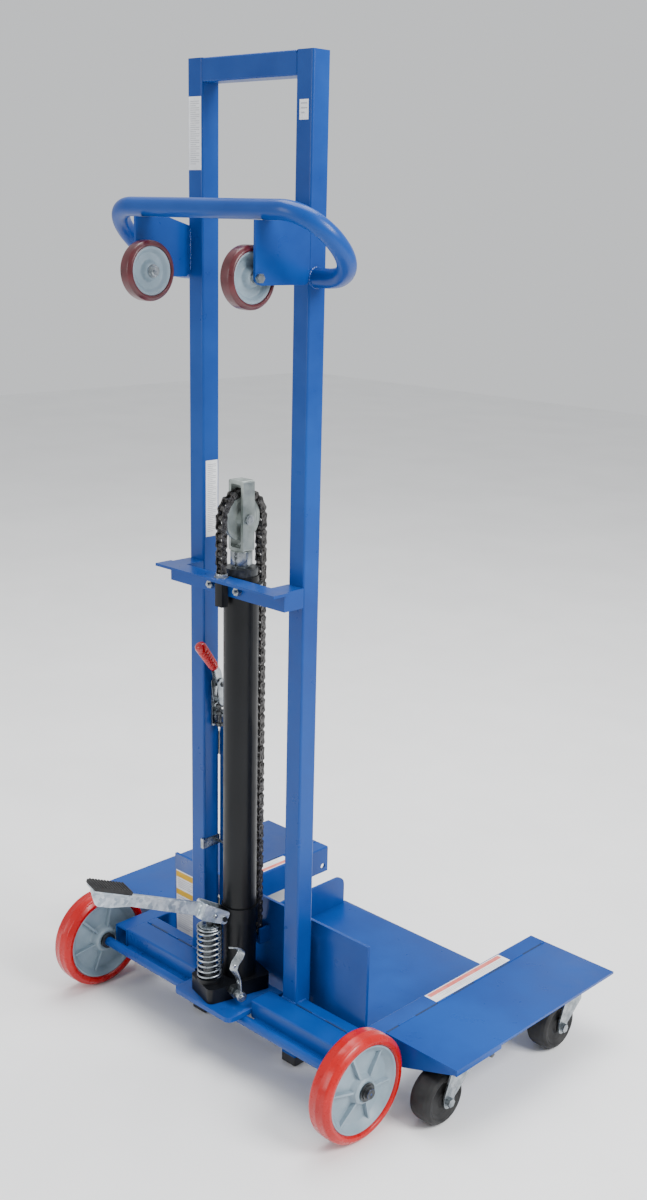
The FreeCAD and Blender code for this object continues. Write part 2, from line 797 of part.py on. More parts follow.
def make_wheel_brackets():
    """The plates behind the mast that hold the transport wheels and prop the handle."""
    pieces = []
    low = cell("bracket_low")
    crossbar_z = cell("handle_height") + cell("handle_depth") * sine(cell("handle_tilt"))
    high = crossbar_z - cell("handle_radius")
    rear = mast_y - cell("bracket_depth")
    outline = [(mast_y, low + 7), (mast_y - 9, low), (rear, low, 14.0), (rear, high),
               (mast_y - 46, high), (mast_y, high - 13)]
    bolt_y = mast_y - cell("small_behind")
    for side_name, side in SIDES:
        across = span(side, mast_outer - cell("bracket_plate"), mast_outer)
        pieces.append(extrude(f"bracket_{side_name}", "x", across[0], across[1], outline,
                              holes=[(bolt_y, cell("small_height"), cell("small_bolt"))]))
    return {"wheel_brackets": group("wheel_brackets", *pieces)}


# ---------------------------------------------------------------- brace and cylinder

def make_brace():
    """The angle across the mast that holds the cylinder's top, with its U-bolt and the chain's anchor."""
    low, high = cell("brace_low"), cell("brace_high")
    plate = cell("brace_plate")
    chain_y = cylinder_y - chain_radius
    bar = cell("u_bolt_rod")
    bend = cell("cylinder_radius") + cell("u_bolt_clear") + bar
    bolt_z = (low + high - plate) / 2
    flange = extrude("brace_flange", "z", high - plate, high,
                     rectangle((-mast_outer - cell("brace_over"), mast_outer + cell("brace_over")),
                               (brace_y - cell("brace_flange"), brace_y + plate)))
    web = box("brace_web", (-mast_outer, mast_outer), (brace_y, brace_y + plate), (low, high - plate))
    arms = []
    for side_name, side in SIDES:
        across = span(side, mast_inner, mast_outer)
        arms.append(box(f"brace_arm_{side_name}", across, (brace_y + plate, mast_y), (low, high)))
    brace = cut("mast_brace", fuse("brace_blank", flange, web, *arms),
                rod("brace_anchor_hole", "z", high - plate - 1, high + 1, 5.0, y=chain_y),
                *[rod(f"brace_bolt_hole_{side_name}", "y", brace_y - 1, brace_y + plate + 1, bar,
                      x=bend * side, z=bolt_z)
                  for side_name, side in SIDES])
    ring = rod("u_ring", "z", bolt_z - bar, bolt_z + bar, bend + bar, y=cylinder_y)
    inner = rod("u_inner", "z", bolt_z - 5, bolt_z + 5, bend - bar, y=cylinder_y)
    behind = box("u_behind", (-bend - 9, bend + 9), (cylinder_y - bend - 9, cylinder_y),
                 (bolt_z - 5, bolt_z + 5))
    pieces = [cut("u_bend", ring, inner, behind)]
    for side_name, side in SIDES:
        x = bend * side
        leg = rod(f"u_leg_{side_name}", "y", brace_y - 13, cylinder_y, bar, x=x, z=bolt_z)
        nut = hex_head(f"u_nut_{side_name}", "y", brace_y - 8, brace_y, 14.0, x, bolt_z)
        pieces += [leg, nut]
    u_bolt = fuse("u_bolt", *pieces)
    stud = rod("anchor_stud", "z", low - 16, high + 8, 5.0, y=chain_y)
    nut = hex_head("anchor_nut", "z", high, high + 8, 17.0, as_size(0), chain_y)
    fork = box("anchor_fork", (as_size(-9), as_size(9)), (chain_y - 7, chain_y + 7),
               (low - 18, high - plate - 3))
    anchor = fuse("chain_anchor", stud, nut, fork)
    return {"mast_brace": brace, "u_bolt": u_bolt, "chain_anchor": anchor}


def make_cylinder():
    """The lift cylinder's barrel and gland, and the ram that slides in them."""
    radius = cell("cylinder_radius")
    bore = radius - cell("cylinder_wall")
    rod_bore = cell("rod_radius") + cell("rod_clear")
    low, top = block_top, cell("cylinder_top")
    barrel = turned("cylinder_barrel", "z",
                    [(low, 0), (low, radius), (top, radius), (top, bore), (low + 12, bore), (low + 12, 0)])
    gland = turned("gland_nut", "z",
                   [(top - 30, rod_bore), (top - 30, bore), (top, bore), (top, radius - 2),
                    (gland_top, radius - 2),
                    (gland_top, rod_bore)])
    ram = turned("ram_rod", "z",
                 [(low + 20, 0), (low + 20, bore - 0.1), (low + 44, bore - 0.1), (low + 44, rod_bore - 0.1),
                  (collar_low, rod_bore - 0.1), (collar_low, 0)])
    for piece in (barrel, gland, ram):
        move(piece, 0, cylinder_y, 0)
    return {"cylinder_barrel": barrel, "gland_nut": gland, "ram_rod": ram}


def make_yoke():
    """The cast yoke on the ram, with the sheave turning on its pin."""
    half_x, half_y = cell("yoke_width") / 2, cell("yoke_depth") / 2
    arm = cell("yoke_arm")
    top = cell("yoke_top")
    axis_z = cell("sheave_height")
    pin = cell("pin_radius")
    frame_outline = rectangle((-half_x, half_x), (collar_top, top), 4.0)
    window = rectangle((arm - half_x, half_x - arm), (collar_top + 6, top - 7), 3.0)
    loop = extrude("yoke_loop", "y", cylinder_y - half_y, cylinder_y + half_y, frame_outline, window)
    collar = rod("yoke_collar", "z", collar_low, collar_top, cell("collar_radius"), y=cylinder_y)
    pin_hole = rod("yoke_pin_hole", "x", -half_x - 1, half_x + 1, pin, y=cylinder_y, z=axis_z)
    yoke = cut("yoke", fuse("yoke_blank", loop, collar), pin_hole)
    shank = rod("sheave_pin_shank", "x", -half_x - 5, half_x + 5, pin, y=cylinder_y, z=axis_z)
    head = rod("sheave_pin_head", "x", half_x, half_x + 4, pin + 3, y=cylinder_y, z=axis_z)
    clip = rod("sheave_pin_clip", "x", -half_x - 3, -half_x, pin + 2, y=cylinder_y, z=axis_z)
    seat = chain_radius - chain_half
    half = cell("sheave_width") / 2
    hub = half_x - arm - 0.5
    bore = pin + cell("sheave_clear")
    sheave = turned("sheave", "x",
                    [(-hub, bore), (hub, bore), (hub, bore + 7), (half - 1, bore + 10), (half - 1, seat - 8),
                     (half, seat - 6), (half, seat), (-half, seat), (-half, seat - 6), (1 - half, seat - 8),
                     (1 - half, bore + 10), (-hub, bore + 7)])
    move(sheave, 0, cylinder_y, axis_z)
    return {"yoke": yoke, "sheave_pin": fuse("sheave_pin", shank, head, clip), "sheave": sheave}


def make_chain():
    """The lift chain: from the brace's anchor, over the sheave, and down to the carriage's lug."""
    pitch_radius = chain_radius
    half_x = cell("chain_width") / 2
    axis_z = cell("sheave_height")
    low, high = -half_x, half_x
    disc = rod("wrap_disc", "x", low, high, pitch_radius + chain_half, y=cylinder_y, z=axis_z)
    hole = rod("wrap_hole", "x", low - 1, high + 1, pitch_radius - chain_half + SLIM, y=cylinder_y, z=axis_z)
    reach = pitch_radius + cell("chain_high")
    below = box("wrap_below", (low - 1, high + 1), (cylinder_y - reach, cylinder_y + reach),
                (axis_z - reach, axis_z))
    made = {"chain_wrap": cut("chain_wrap", disc, hole, below)}
    lug_top = cell("lug_height") + 10
    for name, direction, bottom in (("chain_rear", -1, cell("brace_high") + 8), ("chain_front", 1, lug_top)):
        centre = cylinder_y + pitch_radius * direction
        made[name] = box(name, (low, high), (centre - chain_half, centre + chain_half), (bottom, axis_z))
    return made


# ---------------------------------------------------------------- pump

def make_pump():
    """The foot pump: its plate and block, the sprung plunger, and the pedal that works it."""
    plate_low = plate_top - cell("plate_thick")
    half = cell("plate_half")
    rear = mast_y - cell("plate_behind")
    plate = extrude("pump_plate", "z", plate_low, plate_top,
                    [(-half, rear, 14.0), (half, rear, 14.0), (half, mast_front - 4),
                     (-half, mast_front - 4)])
    block_half = cell("block_half")
    behind, ahead = block_behind, cell("block_ahead")
    spring_y = -spring_behind
    spring_low, spring_high = cell("spring_low"), cell("spring_high")
    bore = cell("plunger_radius") + cell("plunger_clear")
    base = extrude("block_base", "z", plate_top, block_top,
                   rectangle((-block_half, block_half), (-behind, ahead), 12.0))
    boss = rod("block_boss", "z", block_top, spring_low, cell("spring_radius") + 2, y=spring_y)
    well = rod("block_well", "z", plate_top + 6, spring_low + 1, bore, y=spring_y)
    valve_y, valve_z = cell("valve_ahead"), cell("valve_height")
    block = cut("block_solid", fuse("block_blank", base, boss), well)
    made = {"pump_plate": plate, "pump_block": on_pump(group("pump_block", block))}

    stem_top = cell("pedal_height") + cell("stem_over")
    plunger = turned("plunger_solid", "z",
                     [(plate_top + 24, 0), (plate_top + 24, bore - 0.1), (spring_high, bore - 0.1),
                      (spring_high, cell("spring_radius") - 2), (spring_high + 4, cell("spring_radius") - 2),
                      (spring_high + 5, cell("stem_radius")), (stem_top, cell("stem_radius")),
                      (stem_top, 0)])
    move(plunger, 0, spring_y, 0)
    made["plunger"] = on_pump(group("plunger", plunger))
    wire = cell("spring_wire")
    coil = turned("spring_solid", "z",
                  [(spring_low, cell("spring_radius") - wire), (spring_low, cell("spring_radius")),
                   (spring_high, cell("spring_radius")), (spring_high, cell("spring_radius") - wire)])
    move(coil, 0, spring_y, 0)
    made["pump_spring"] = on_pump(group("pump_spring", coil))
    made.update(make_pedal())
    made.update(make_release(block_half, valve_y, valve_z))
    return made


def make_pedal():
    """The pedal: a fork that straddles the plunger, a flat bar on edge and a rubber pad."""
    pivot_y, pivot_z = -pedal_back, cell("pedal_height")
    pin = cell("pedal_pin")
    fork_half = cell("fork_half")
    inner = fork_half - 4
    strap = rod("lug_strap", "z", pivot_z - 16, pivot_z + 16, cell("cylinder_radius") + 3)
    strap_bore = rod("lug_strap_bore", "z", pivot_z - 17, pivot_z + 17, cell("cylinder_radius"))
    lug_blank = box("lug_blank", (-inner + SLIM * 2, inner - SLIM * 2), (pivot_y - 9, as_size(0)),
                    (pivot_z - 10, pivot_z + 10))
    lug = cut("pivot_lug", fuse("lug_joined", strap, lug_blank), strap_bore)
    pivot_pin = rod("pivot_pin", "x", -fork_half - 5, fork_half + 5, pin, y=pivot_y, z=pivot_z)
    pivot = on_pump(group("pedal_pivot", fuse("pivot_solid", lug, pivot_pin)))

    rise = cell("pedal_rise")
    bar_half = cell("pedal_bar") / 2
    bar_high = cell("pedal_bar_high")
    reach = (cell("rear_reach") + cell("cylinder_ahead") - sine(cell("pump_turn")) * cell("pad_half"))
    length = (reach / cosine(cell("pump_turn")) - pedal_back) / cosine(rise)
    fork_out = spring_behind - pedal_back + 26
    cheek = [(8, -9, 6.0), (8, 9, 6.0), (-fork_out, 22, 6.0), (-fork_out, -8, 6.0)]
    bearing = pin + cell("axle_clear")
    cheeks = [extrude(f"pedal_cheek_{end}", "x", low, high, cheek, holes=[(0, 0, bearing)])
              for end, low, high in (("a", -fork_half, -inner), ("b", inner, fork_half))]
    nose = box("pedal_nose", (-inner, inner), (-fork_out, 4 - fork_out), (as_size(-6), as_size(20)))
    saddle = box("pedal_saddle", (-inner, inner), (-fork_out + 4, as_size(-16)), (as_size(2), as_size(6)))
    tip = -length
    bar = extrude("pedal_blade", "x", -bar_half, bar_half,
                  [(2 - fork_out, -8), (2 - fork_out, bar_high - 8), (tip + cell("pad_long"), bar_high - 10),
                   (tip + 4, bar_high - 6), (tip + 4, bar_high - 14), (tip + 26, -22, 6.0),
                   (tip + 46, -22, 10.0), (tip + 80, -10, 20.0)])
    plate = box("pedal_plate", (-cell("pad_half") + 2, cell("pad_half") - 2),
                (tip + 2, tip + cell("pad_long")),
                (bar_high - 10, bar_high - 6))
    arm = fuse("pedal_arm_solid", *cheeks, nose, saddle, bar, plate)
    pad = extrude("pedal_pad_solid", "x", -cell("pad_half"), cell("pad_half"),
                  rectangle((tip, tip + cell("pad_long") + 4), (bar_high - 6, bar_high + 3), 2.0))
    for piece in (arm, pad):
        turn(piece, Vector(-1, 0, 0), rise)
        move(piece, 0, pivot_y, pivot_z)
    return {"pedal_pivot": pivot, "pedal_arm": on_pump(group("pedal_arm", arm)),
            "pedal_pad": on_pump(group("pedal_pad", pad))}


def make_release(block_half, valve_y, valve_z):
    """The release valve in the side of the block, and the lever that opens it."""
    face = block_half
    end = face + cell("valve_long")
    body = hex_head("valve_hex", "x", face, face + 14, 22.0, valve_y, valve_z)
    stem = rod("valve_stem", "x", face + 14, end, 5.0, y=valve_y, z=valve_z)
    valve = fuse("valve_solid", body, stem)
    low = face + 17
    hub = rod("lever_hub", "x", low, low + 18, 10.0, y=valve_y, z=valve_z)
    thick = cell("lever_thick")
    strap = extrude("lever_strap", "x", low + 1, low + 1 + cell("lever_width"),
                    [(valve_y - thick, valve_z), (valve_y, valve_z), (valve_y + 2, valve_z + 38),
                     (valve_y - 14, valve_z + 62, 10.0), (valve_y + 4, valve_z + 92, 10.0),
                     (valve_y - 16, valve_z + 108), (valve_y - 18, valve_z + 106),
                     (valve_y, valve_z + 91, 7.0), (valve_y - 18, valve_z + 62, 13.0),
                     (valve_y - 1, valve_z + 38)])
    bore = rod("lever_bore", "x", low - 1, low + 20, 5.0 + SLIM / 3, y=valve_y, z=valve_z)
    lever = cut("lever_solid", fuse("lever_blank", hub, strap), bore)
    return {"release_valve": on_pump(group("release_valve", valve)),
            "release_lever": on_pump(group("release_lever", lever))}


# ---------------------------------------------------------------- carriage

def make_carriage():
    """The lifting carriage: a deck with one side lip, its back plate, the uprights and guide shoes."""
    plate = cell("deck_plate")
    low = cell("deck_low")
    front = mast_y + cell("deck_front")
    floor_plate = box("deck_floor", (-deck_x, deck_x), (back_y + plate, front), (low, low + plate))
    lip = extrude("deck_lip", "x", -deck_x, plate - deck_x,
                  [(back_y + plate, low), (front - cell("lip_short"), low),
                   (front - cell("lip_short"), low + cell("lip_high"), 24.0),
                   (back_y + plate, low + cell("lip_high"))])
    made = {"deck": fuse("deck", floor_plate, lip)}

    half = cell("back_width") / 2
    back = box("back_sheet", (-half, half), (back_y, back_y + plate), (low, cell("back_top")))
    chain_y = cylinder_y + chain_radius
    lug_z = cell("lug_height")
    lug = box("chain_lug", (as_size(-16), as_size(16)), (chain_y - 7, back_y), (lug_z - 6, lug_z))
    cheeks = [box(f"chain_cheek_{side_name}", span(side, as_size(11.5), as_size(16)), (chain_y - 7, back_y),
                  (lug_z, lug_z + 26)) for side_name, side in SIDES]
    made["back_plate"] = fuse("back_plate", back, lug, *cheeks)

    width = cell("upright_width")
    upright_y = (mast_front + 1.5, back_y)
    uprights = [box(f"upright_{side_name}", span(side, mast_inner - width, mast_inner - 0.5), upright_y,
                    (low, cell("upright_top"))) for side_name, side in SIDES]
    made["carriage_uprights"] = group("carriage_uprights", *uprights)

    shoe_clear = cell("shoe_clear")
    shoe_half = tube / 2 - cell("tube_wall") - shoe_clear
    tongue_half = cell("slot_width") / 2 - 1
    shoes = []
    for side_name, side in SIDES:
        centre = mast_x * side
        for level, height in (("low", cell("back_top") - 60), ("high", cell("upright_top") - 60)):
            name = f"shoe_{level}_{side_name}"
            middle = mast_y + tube / 2
            block = box(f"{name}_block", (centre - shoe_half, centre + shoe_half),
                        (middle - shoe_half, middle + shoe_half), (height - 30, height + 30))
            tongue = box(f"{name}_tongue", (centre - tongue_half, centre + tongue_half),
                         (middle + shoe_half, mast_front + 1.5), (height - 24, height + 24))
            arm_x = span(side, mast_inner - 0.5, mast_x + tongue_half)
            arm = box(f"{name}_arm", arm_x, (mast_front + 1.5, mast_front + 9.5), (height - 24, height + 24))
            shoes.append(fuse(name, block, tongue, arm))
    made["guide_shoes"] = group("guide_shoes", *shoes)
    return made


# ---------------------------------------------------------------- clamp and clip on the left mast tube

def make_clamp():
    """The toggle clamp on the inner face of the left mast tube, and the spring clip below it."""
    face = -mast_inner
    low = cell("clamp_height")
    pivot_y = mast_y + cell("clamp_ahead")
    pivot_z = cell("clamp_pivot")
    out = cell("clamp_out")
    half_gap = cell("link_thick") / 2 + 2
    plate = cell("ear_plate")
    front = mast_front - 2
    base = box("clamp_foot", (face, face + 3), (mast_y + 5, front), (low, pivot_z + 4))
    ears = [box(f"clamp_ear_{end}", (face + start, face + start + plate),
                (pivot_y - cell("ear_half"), front),
                (pivot_z - cell("ear_low"), pivot_z + cell("ear_half")))
            for end, start in (("a", out - half_gap - plate), ("b", out + half_gap))]
    spacer = box("clamp_spacer", (face + 3, face + out + half_gap + plate), (front - 8, front),
                 (low + 20, pivot_z - cell("ear_low") + 4))
    spindle = rod("clamp_spindle", "z", low + 4, pivot_z - cell("ear_low"), 4.0, x=face + out, y=front - 9)
    pin = rod("clamp_pin", "x", face + 1, face + out + half_gap + plate + 2, cell("link_pin"), y=pivot_y,
              z=pivot_z)
    made = {"toggle_base": fuse("toggle_base", base, *ears, spacer, spindle, pin)}
    start, end = cell("grip_start"), cell("grip_end")
    half = cell("link_thick") / 2
    offset = cell("grip_offset")
    shank = box("toggle_shank", (-half, half), (-half, half), (-half - 2, half + 5))
    head = box("toggle_head", (-half, half), (-half, offset + half), (half + 2, start))
    link = fuse("toggle_link", shank, head)
    eye = rod("toggle_eye", "x", -half - 1, half + 1, cell("link_pin") + SLIM / 3)
    handle = cut("toggle_handle", link, eye)
    radius = cell("grip_radius")
    grip_body = turned("toggle_grip_body", "z",
                       [(start, 0), (start, radius - 3), (start + 6, radius, 2.0), (end, radius + 1, 9.0),
                        (end, 0)])
    grip = group("toggle_grip", move(grip_body, 0, offset, 0))
    for piece in (handle, grip):
        turn(piece, Vector(1, 0, 0), cell("clamp_lean"))
        move(piece, face + out, pivot_y, pivot_z)
        made[piece.Name] = piece
    clip_z = cell("clip_height")
    clip_half = cell("clip_half")
    strap = box("clip_strap", (face, face + 2), (mast_y - 2, mast_front),
                (clip_z - clip_half, clip_z + clip_half))
    hook = box("clip_hook", (face - cell("clip_hook"), face + 2), (mast_y - 4, mast_y - 0.1),
               (clip_z - clip_half, clip_z + clip_half))
    finger = rod("clip_finger", "x", face + 2, face + cell("finger_long"), 3.0, y=mast_front - 8, z=clip_z)
    made["spring_clip"] = fuse("spring_clip", strap, hook, finger)
    return made


# ---------------------------------------------------------------- build, check and write

parts = {}
for maker in (make_mast, make_rails, make_wings, make_cross_tubes, make_rear_axle, make_caster_plates,
              make_rear_wheels, make_transport_wheels, make_casters, make_handle, make_wheel_brackets,
              make_brace, make_cylinder, make_yoke, make_chain, make_pump, make_carriage, make_clamp):
    parts.update(maker())

doc.recompute()
for item in doc.Objects:
    if "Invalid" in item.State or "Error" in item.State:
        raise RuntimeError(f"{item.Name} failed: {item.State}")
for name, item in parts.items():
    item.Label = name
    if item.Shape.isNull() or not item.Shape.isValid() or not item.Shape.Solids:
        raise RuntimeError(f"{name} has no valid solid")

os.makedirs("parts", exist_ok=True)
for name, item in parts.items():
    item.Shape.exportStep(os.path.join("parts", f"{name}.step"))
print(f"{len(parts)} parts written")
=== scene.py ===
import json
import math

import bpy
from mathutils import Matrix, Vector


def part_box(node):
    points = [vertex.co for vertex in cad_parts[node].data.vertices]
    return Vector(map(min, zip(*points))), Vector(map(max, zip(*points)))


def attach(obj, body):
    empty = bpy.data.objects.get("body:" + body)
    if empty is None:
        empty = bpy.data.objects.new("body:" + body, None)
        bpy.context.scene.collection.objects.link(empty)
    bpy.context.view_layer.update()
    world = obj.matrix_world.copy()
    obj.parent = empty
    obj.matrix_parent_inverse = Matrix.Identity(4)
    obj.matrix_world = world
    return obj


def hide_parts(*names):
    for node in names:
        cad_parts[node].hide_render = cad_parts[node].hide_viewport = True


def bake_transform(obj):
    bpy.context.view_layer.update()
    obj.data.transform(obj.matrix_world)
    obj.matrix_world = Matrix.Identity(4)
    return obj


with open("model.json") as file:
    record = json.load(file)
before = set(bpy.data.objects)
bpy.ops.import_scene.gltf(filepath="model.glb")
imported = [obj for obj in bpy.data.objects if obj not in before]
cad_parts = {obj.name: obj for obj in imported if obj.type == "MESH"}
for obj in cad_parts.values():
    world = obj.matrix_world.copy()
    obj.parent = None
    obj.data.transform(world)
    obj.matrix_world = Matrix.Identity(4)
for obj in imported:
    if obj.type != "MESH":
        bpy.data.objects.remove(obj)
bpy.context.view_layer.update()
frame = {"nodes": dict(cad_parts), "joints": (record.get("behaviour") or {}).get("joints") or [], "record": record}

MM = 0.001
SIDES = (("left", -1), ("right", 1))


# ---------------------------------------------------------------- materials

def new_material(name):
    """An empty node material: its tree, its shader and the object coordinates it is painted in."""
    made = bpy.data.materials.new(name)
    made.use_nodes = True
    tree = made.node_tree
    shader = tree.nodes["Principled BSDF"]
    where = tree.nodes.new("ShaderNodeTexCoord").outputs["Object"]
    return made, tree, shader, where


def noise(tree, where, scale, detail=4.0, rough=0.55):
    node = tree.nodes.new("ShaderNodeTexNoise")
    node.inputs["Scale"].default_value = scale
    node.inputs["Detail"].default_value = detail
    node.inputs["Roughness"].default_value = rough
    tree.links.new(where, node.inputs["Vector"])
    return node.outputs["Fac"]


def ramp(tree, value, stops):
    """A colour ramp through (place, colour) stops."""
    node = tree.nodes.new("ShaderNodeValToRGB")
    elements = node.color_ramp.elements
    while len(elements) < len(stops):
        elements.new(0.5)
    for element, (place, colour) in zip(elements, stops):
        element.position = place
        element.color = (*colour, 1.0)
    tree.links.new(value, node.inputs["Fac"])
    return node.outputs["Color"]


def spread(tree, value, low, high):
    """A 0-1 value mapped to a range, around the middle of a noise."""
    node = tree.nodes.new("ShaderNodeMapRange")
    node.inputs["From Min"].default_value = 0.3
    node.inputs["From Max"].default_value = 0.7
    node.inputs["To Min"].default_value = low
    node.inputs["To Max"].default_value = high
    tree.links.new(value, node.inputs["Value"])
    return node.outputs["Result"]


def bump(tree, shader, height, strength, distance, before=None):
    node = tree.nodes.new("ShaderNodeBump")
    node.inputs["Strength"].default_value = strength
    node.inputs["Distance"].default_value = distance
    tree.links.new(height, node.inputs["Height"])
    if before is not None:
        tree.links.new(before, node.inputs["Normal"])
    tree.links.new(node.outputs["Normal"], shader.inputs["Normal"])
    return node.outputs["Normal"]


def finish_of(name, dark, light, rough, metallic=0.0, coat=0.0, patch=9.0, grain=700.0, grain_bump=0.12,
              wave_bump=0.0, spangle=0.0, sheen_rough=0.1, gloss=0.5):
    """A worked surface: two tones in soft patches, uneven gloss, a fine grain and a slow waviness."""
    made, tree, shader, where = new_material(name)
    patches = noise(tree, where, patch)
    fine = noise(tree, where, grain, detail=2.0)
    if spangle:
        cells = tree.nodes.new("ShaderNodeTexVoronoi")
        cells.inputs["Scale"].default_value = spangle
        tree.links.new(where, cells.inputs["Vector"])
        tone = tree.nodes.new("ShaderNodeSeparateColor")
        tree.links.new(cells.outputs["Color"], tone.inputs["Color"])
        blend = tree.nodes.new("ShaderNodeMath")
        blend.operation = "MULTIPLY_ADD"
        blend.inputs[1].default_value = 0.45
        tree.links.new(tone.outputs["Red"], blend.inputs[0])
        tree.links.new(patches, blend.inputs[2])
        colour_from = blend.outputs["Value"]
    else:
        colour_from = patches
    low, high = (0.35, 0.65) if not spangle else (0.4, 0.95)
    tree.links.new(ramp(tree, colour_from, [(low, dark), (high, light)]), shader.inputs["Base Color"])
    uneven = noise(tree, where, patch * 4, detail=6.0)
    tree.links.new(spread(tree, uneven, *rough), shader.inputs["Roughness"])
    shader.inputs["Metallic"].default_value = metallic
    shader.inputs["Specular IOR Level"].default_value = gloss
    if coat:
        shader.inputs["Coat Weight"].default_value = coat
        shader.inputs["Coat Roughness"].default_value = sheen_rough
    normal = bump(tree, shader, fine, grain_bump, 0.0004)
    if wave_bump:
        slow = noise(tree, where, 45.0, detail=1.0)
        bump(tree, shader, slow, wave_bump, 0.002, before=normal)
    return made


BLUE_DARK = (0.0004, 0.036, 0.205)
BLUE_LIGHT = (0.0006, 0.054, 0.275)
MATERIALS = {
    "blue_paint": finish_of("blue_paint", BLUE_DARK, BLUE_LIGHT, (0.26, 0.38), coat=0.06, patch=5.0,
                            grain=160.0, grain_bump=0.008, wave_bump=0.03, sheen_rough=0.10, gloss=0.28),
    "red_poly": finish_of("red_poly", (0.36, 0.0012, 0.0020), (0.47, 0.0024, 0.0034), (0.22, 0.34), coat=0.08,
                          patch=14.0, grain=900.0, grain_bump=0.03, wave_bump=0.03, gloss=0.35),
    "grey_rim": finish_of("grey_rim", (0.185, 0.250, 0.300), (0.255, 0.330, 0.385), (0.38, 0.52), patch=18.0,
                          grain=1500.0, grain_bump=0.15, wave_bump=0.06),
    "maroon_poly": finish_of("maroon_poly", (0.050, 0.0030, 0.0060), (0.090, 0.0060, 0.0110), (0.26, 0.42),
                             coat=0.15, patch=30.0, grain=1200.0, grain_bump=0.06),
    "black_rubber": finish_of("black_rubber", (0.006, 0.006, 0.007), (0.026, 0.026, 0.026), (0.46, 0.68),
                              patch=26.0, grain=1600.0, grain_bump=0.25, wave_bump=0.05, gloss=0.35),
    "black_plastic": finish_of("black_plastic", (0.010, 0.010, 0.011), (0.020, 0.020, 0.022), (0.40, 0.55),
                               patch=40.0, grain=1900.0, grain_bump=0.25),
    "black_enamel": finish_of("black_enamel", (0.0025, 0.0030, 0.0040), (0.006, 0.007, 0.009), (0.30, 0.44),
                              patch=8.0, grain=300.0, grain_bump=0.03, wave_bump=0.03, gloss=0.25),
    "zinc_plate": finish_of("zinc_plate", (0.20, 0.225, 0.245), (0.42, 0.45, 0.47), (0.22, 0.40),
                            metallic=1.0, patch=60.0, grain=1400.0, grain_bump=0.08),
    "galvanised": finish_of("galvanised", (0.26, 0.32, 0.38), (0.56, 0.62, 0.67), (0.28, 0.48), metallic=0.9,
                            patch=30.0, grain=900.0, grain_bump=0.12, wave_bump=0.08, spangle=150.0),
    "cast_steel": finish_of("cast_steel", (0.20, 0.23, 0.22), (0.36, 0.40, 0.38), (0.34, 0.50), metallic=0.6,
                            patch=34.0, grain=800.0, grain_bump=0.4, wave_bump=0.12),
    "chain_steel": finish_of("chain_steel", (0.022, 0.021, 0.021), (0.120, 0.116, 0.114), (0.20, 0.38),
                             metallic=0.85, patch=120.0, grain=1400.0, grain_bump=0.12),
    "ground_rod": finish_of("ground_rod", (0.20, 0.23, 0.27), (0.34, 0.37, 0.40), (0.12, 0.26), metallic=1.0,
                            patch=20.0, grain=2500.0, grain_bump=0.05),
    "red_grip": finish_of("red_grip", (0.36, 0.0010, 0.0040), (0.42, 0.0016, 0.0050), (0.18, 0.28), coat=0.3,
                          patch=12.0, grain=1200.0, grain_bump=0.06),
    "nylon": finish_of("nylon", (0.58, 0.57, 0.52), (0.70, 0.69, 0.65), (0.42, 0.55), patch=40.0,
                       grain=1500.0, grain_bump=0.2),
    "label": finish_of("label", (0.70, 0.71, 0.72), (0.82, 0.83, 0.84), (0.28, 0.40), patch=40.0,
                       grain=900.0, grain_bump=0.04),
}
PRINT = {
    "yellow": finish_of("label_yellow", (0.62, 0.36, 0.020), (0.72, 0.44, 0.035), (0.28, 0.40), patch=60.0),
    "red": finish_of("label_red", (0.60, 0.12, 0.10), (0.70, 0.20, 0.17), (0.28, 0.40), patch=60.0),
    "grey": finish_of("label_grey", (0.36, 0.37, 0.40), (0.50, 0.51, 0.54), (0.28, 0.40), patch=300.0),
}
DARK_STEEL = finish_of("dark_steel", (0.035, 0.038, 0.042), (0.090, 0.095, 0.100), (0.30, 0.46), metallic=0.7,
                       patch=80.0, grain=1200.0, grain_bump=0.15)
# Painted shade: a darker blue for the strips laid in the groove between rail and wing, where the seam lies in
# shade.
SEAM_SHADE = finish_of("seam_shadow", (0.0012, 0.014, 0.062), (0.002, 0.022, 0.090), (0.5, 0.7), patch=60.0)

for subpart in frame["record"]["subparts"]:
    node = frame["nodes"][subpart["node"]]
    node.data.materials.clear()
    node.data.materials.append(MATERIALS[subpart["material_slot"]])
for name in ("gland_nut", "axle_retainers", "plunger"):
    frame["nodes"][name].data.materials[0] = DARK_STEEL

EASED = {"deck": 0.8, "back_plate": 0.8, "wing_left": 0.8, "wing_right": 0.8,
         "pump_plate": 1.2, "spring_clip": 0.5, "yoke": 1.0, "chain_anchor": 0.7,
         "carriage_uprights": 0.6}
for name, width in EASED.items():
    node = frame["nodes"][name]
    weld = node.modifiers.new("weld", "WELD")
    weld.merge_threshold = 0.00001
    ease = node.modifiers.new("ease", "BEVEL")
    ease.width = width * MM
    ease.segments = 2
    ease.limit_method = "ANGLE"
    ease.angle_limit = math.radians(50)
    ease.harden_normals = True


# ---------------------------------------------------------------- making meshes

def rounded(points, closed=True, steps=5):
    """Corners (x, y) or (x, y, radius) with each radius drawn as a short run of points."""
    made = []
    count = len(points)
    for i, point in enumerate(points):
        here = Vector(point[:2])
        if len(point) < 3 or (not closed and i in (0, count - 1)):
            made.append(here)
            continue
        before = (Vector(points[i - 1][:2]) - here).normalized()
        after = (Vector(points[(i + 1) % count][:2]) - here).normalized()
        half = before.angle(after) / 2
        inward = (before + after).normalized()
        centre = here + inward * (point[2] / math.sin(half))
        start = here + before * (point[2] / math.tan(half)) - centre
        end = here + after * (point[2] / math.tan(half)) - centre
        sweep_angle = math.atan2(start.x * end.y - start.y * end.x, start.dot(end))
        for step in range(steps + 1):
            made.append(centre + Matrix.Rotation(sweep_angle * step / steps, 2) @ start)
    return made


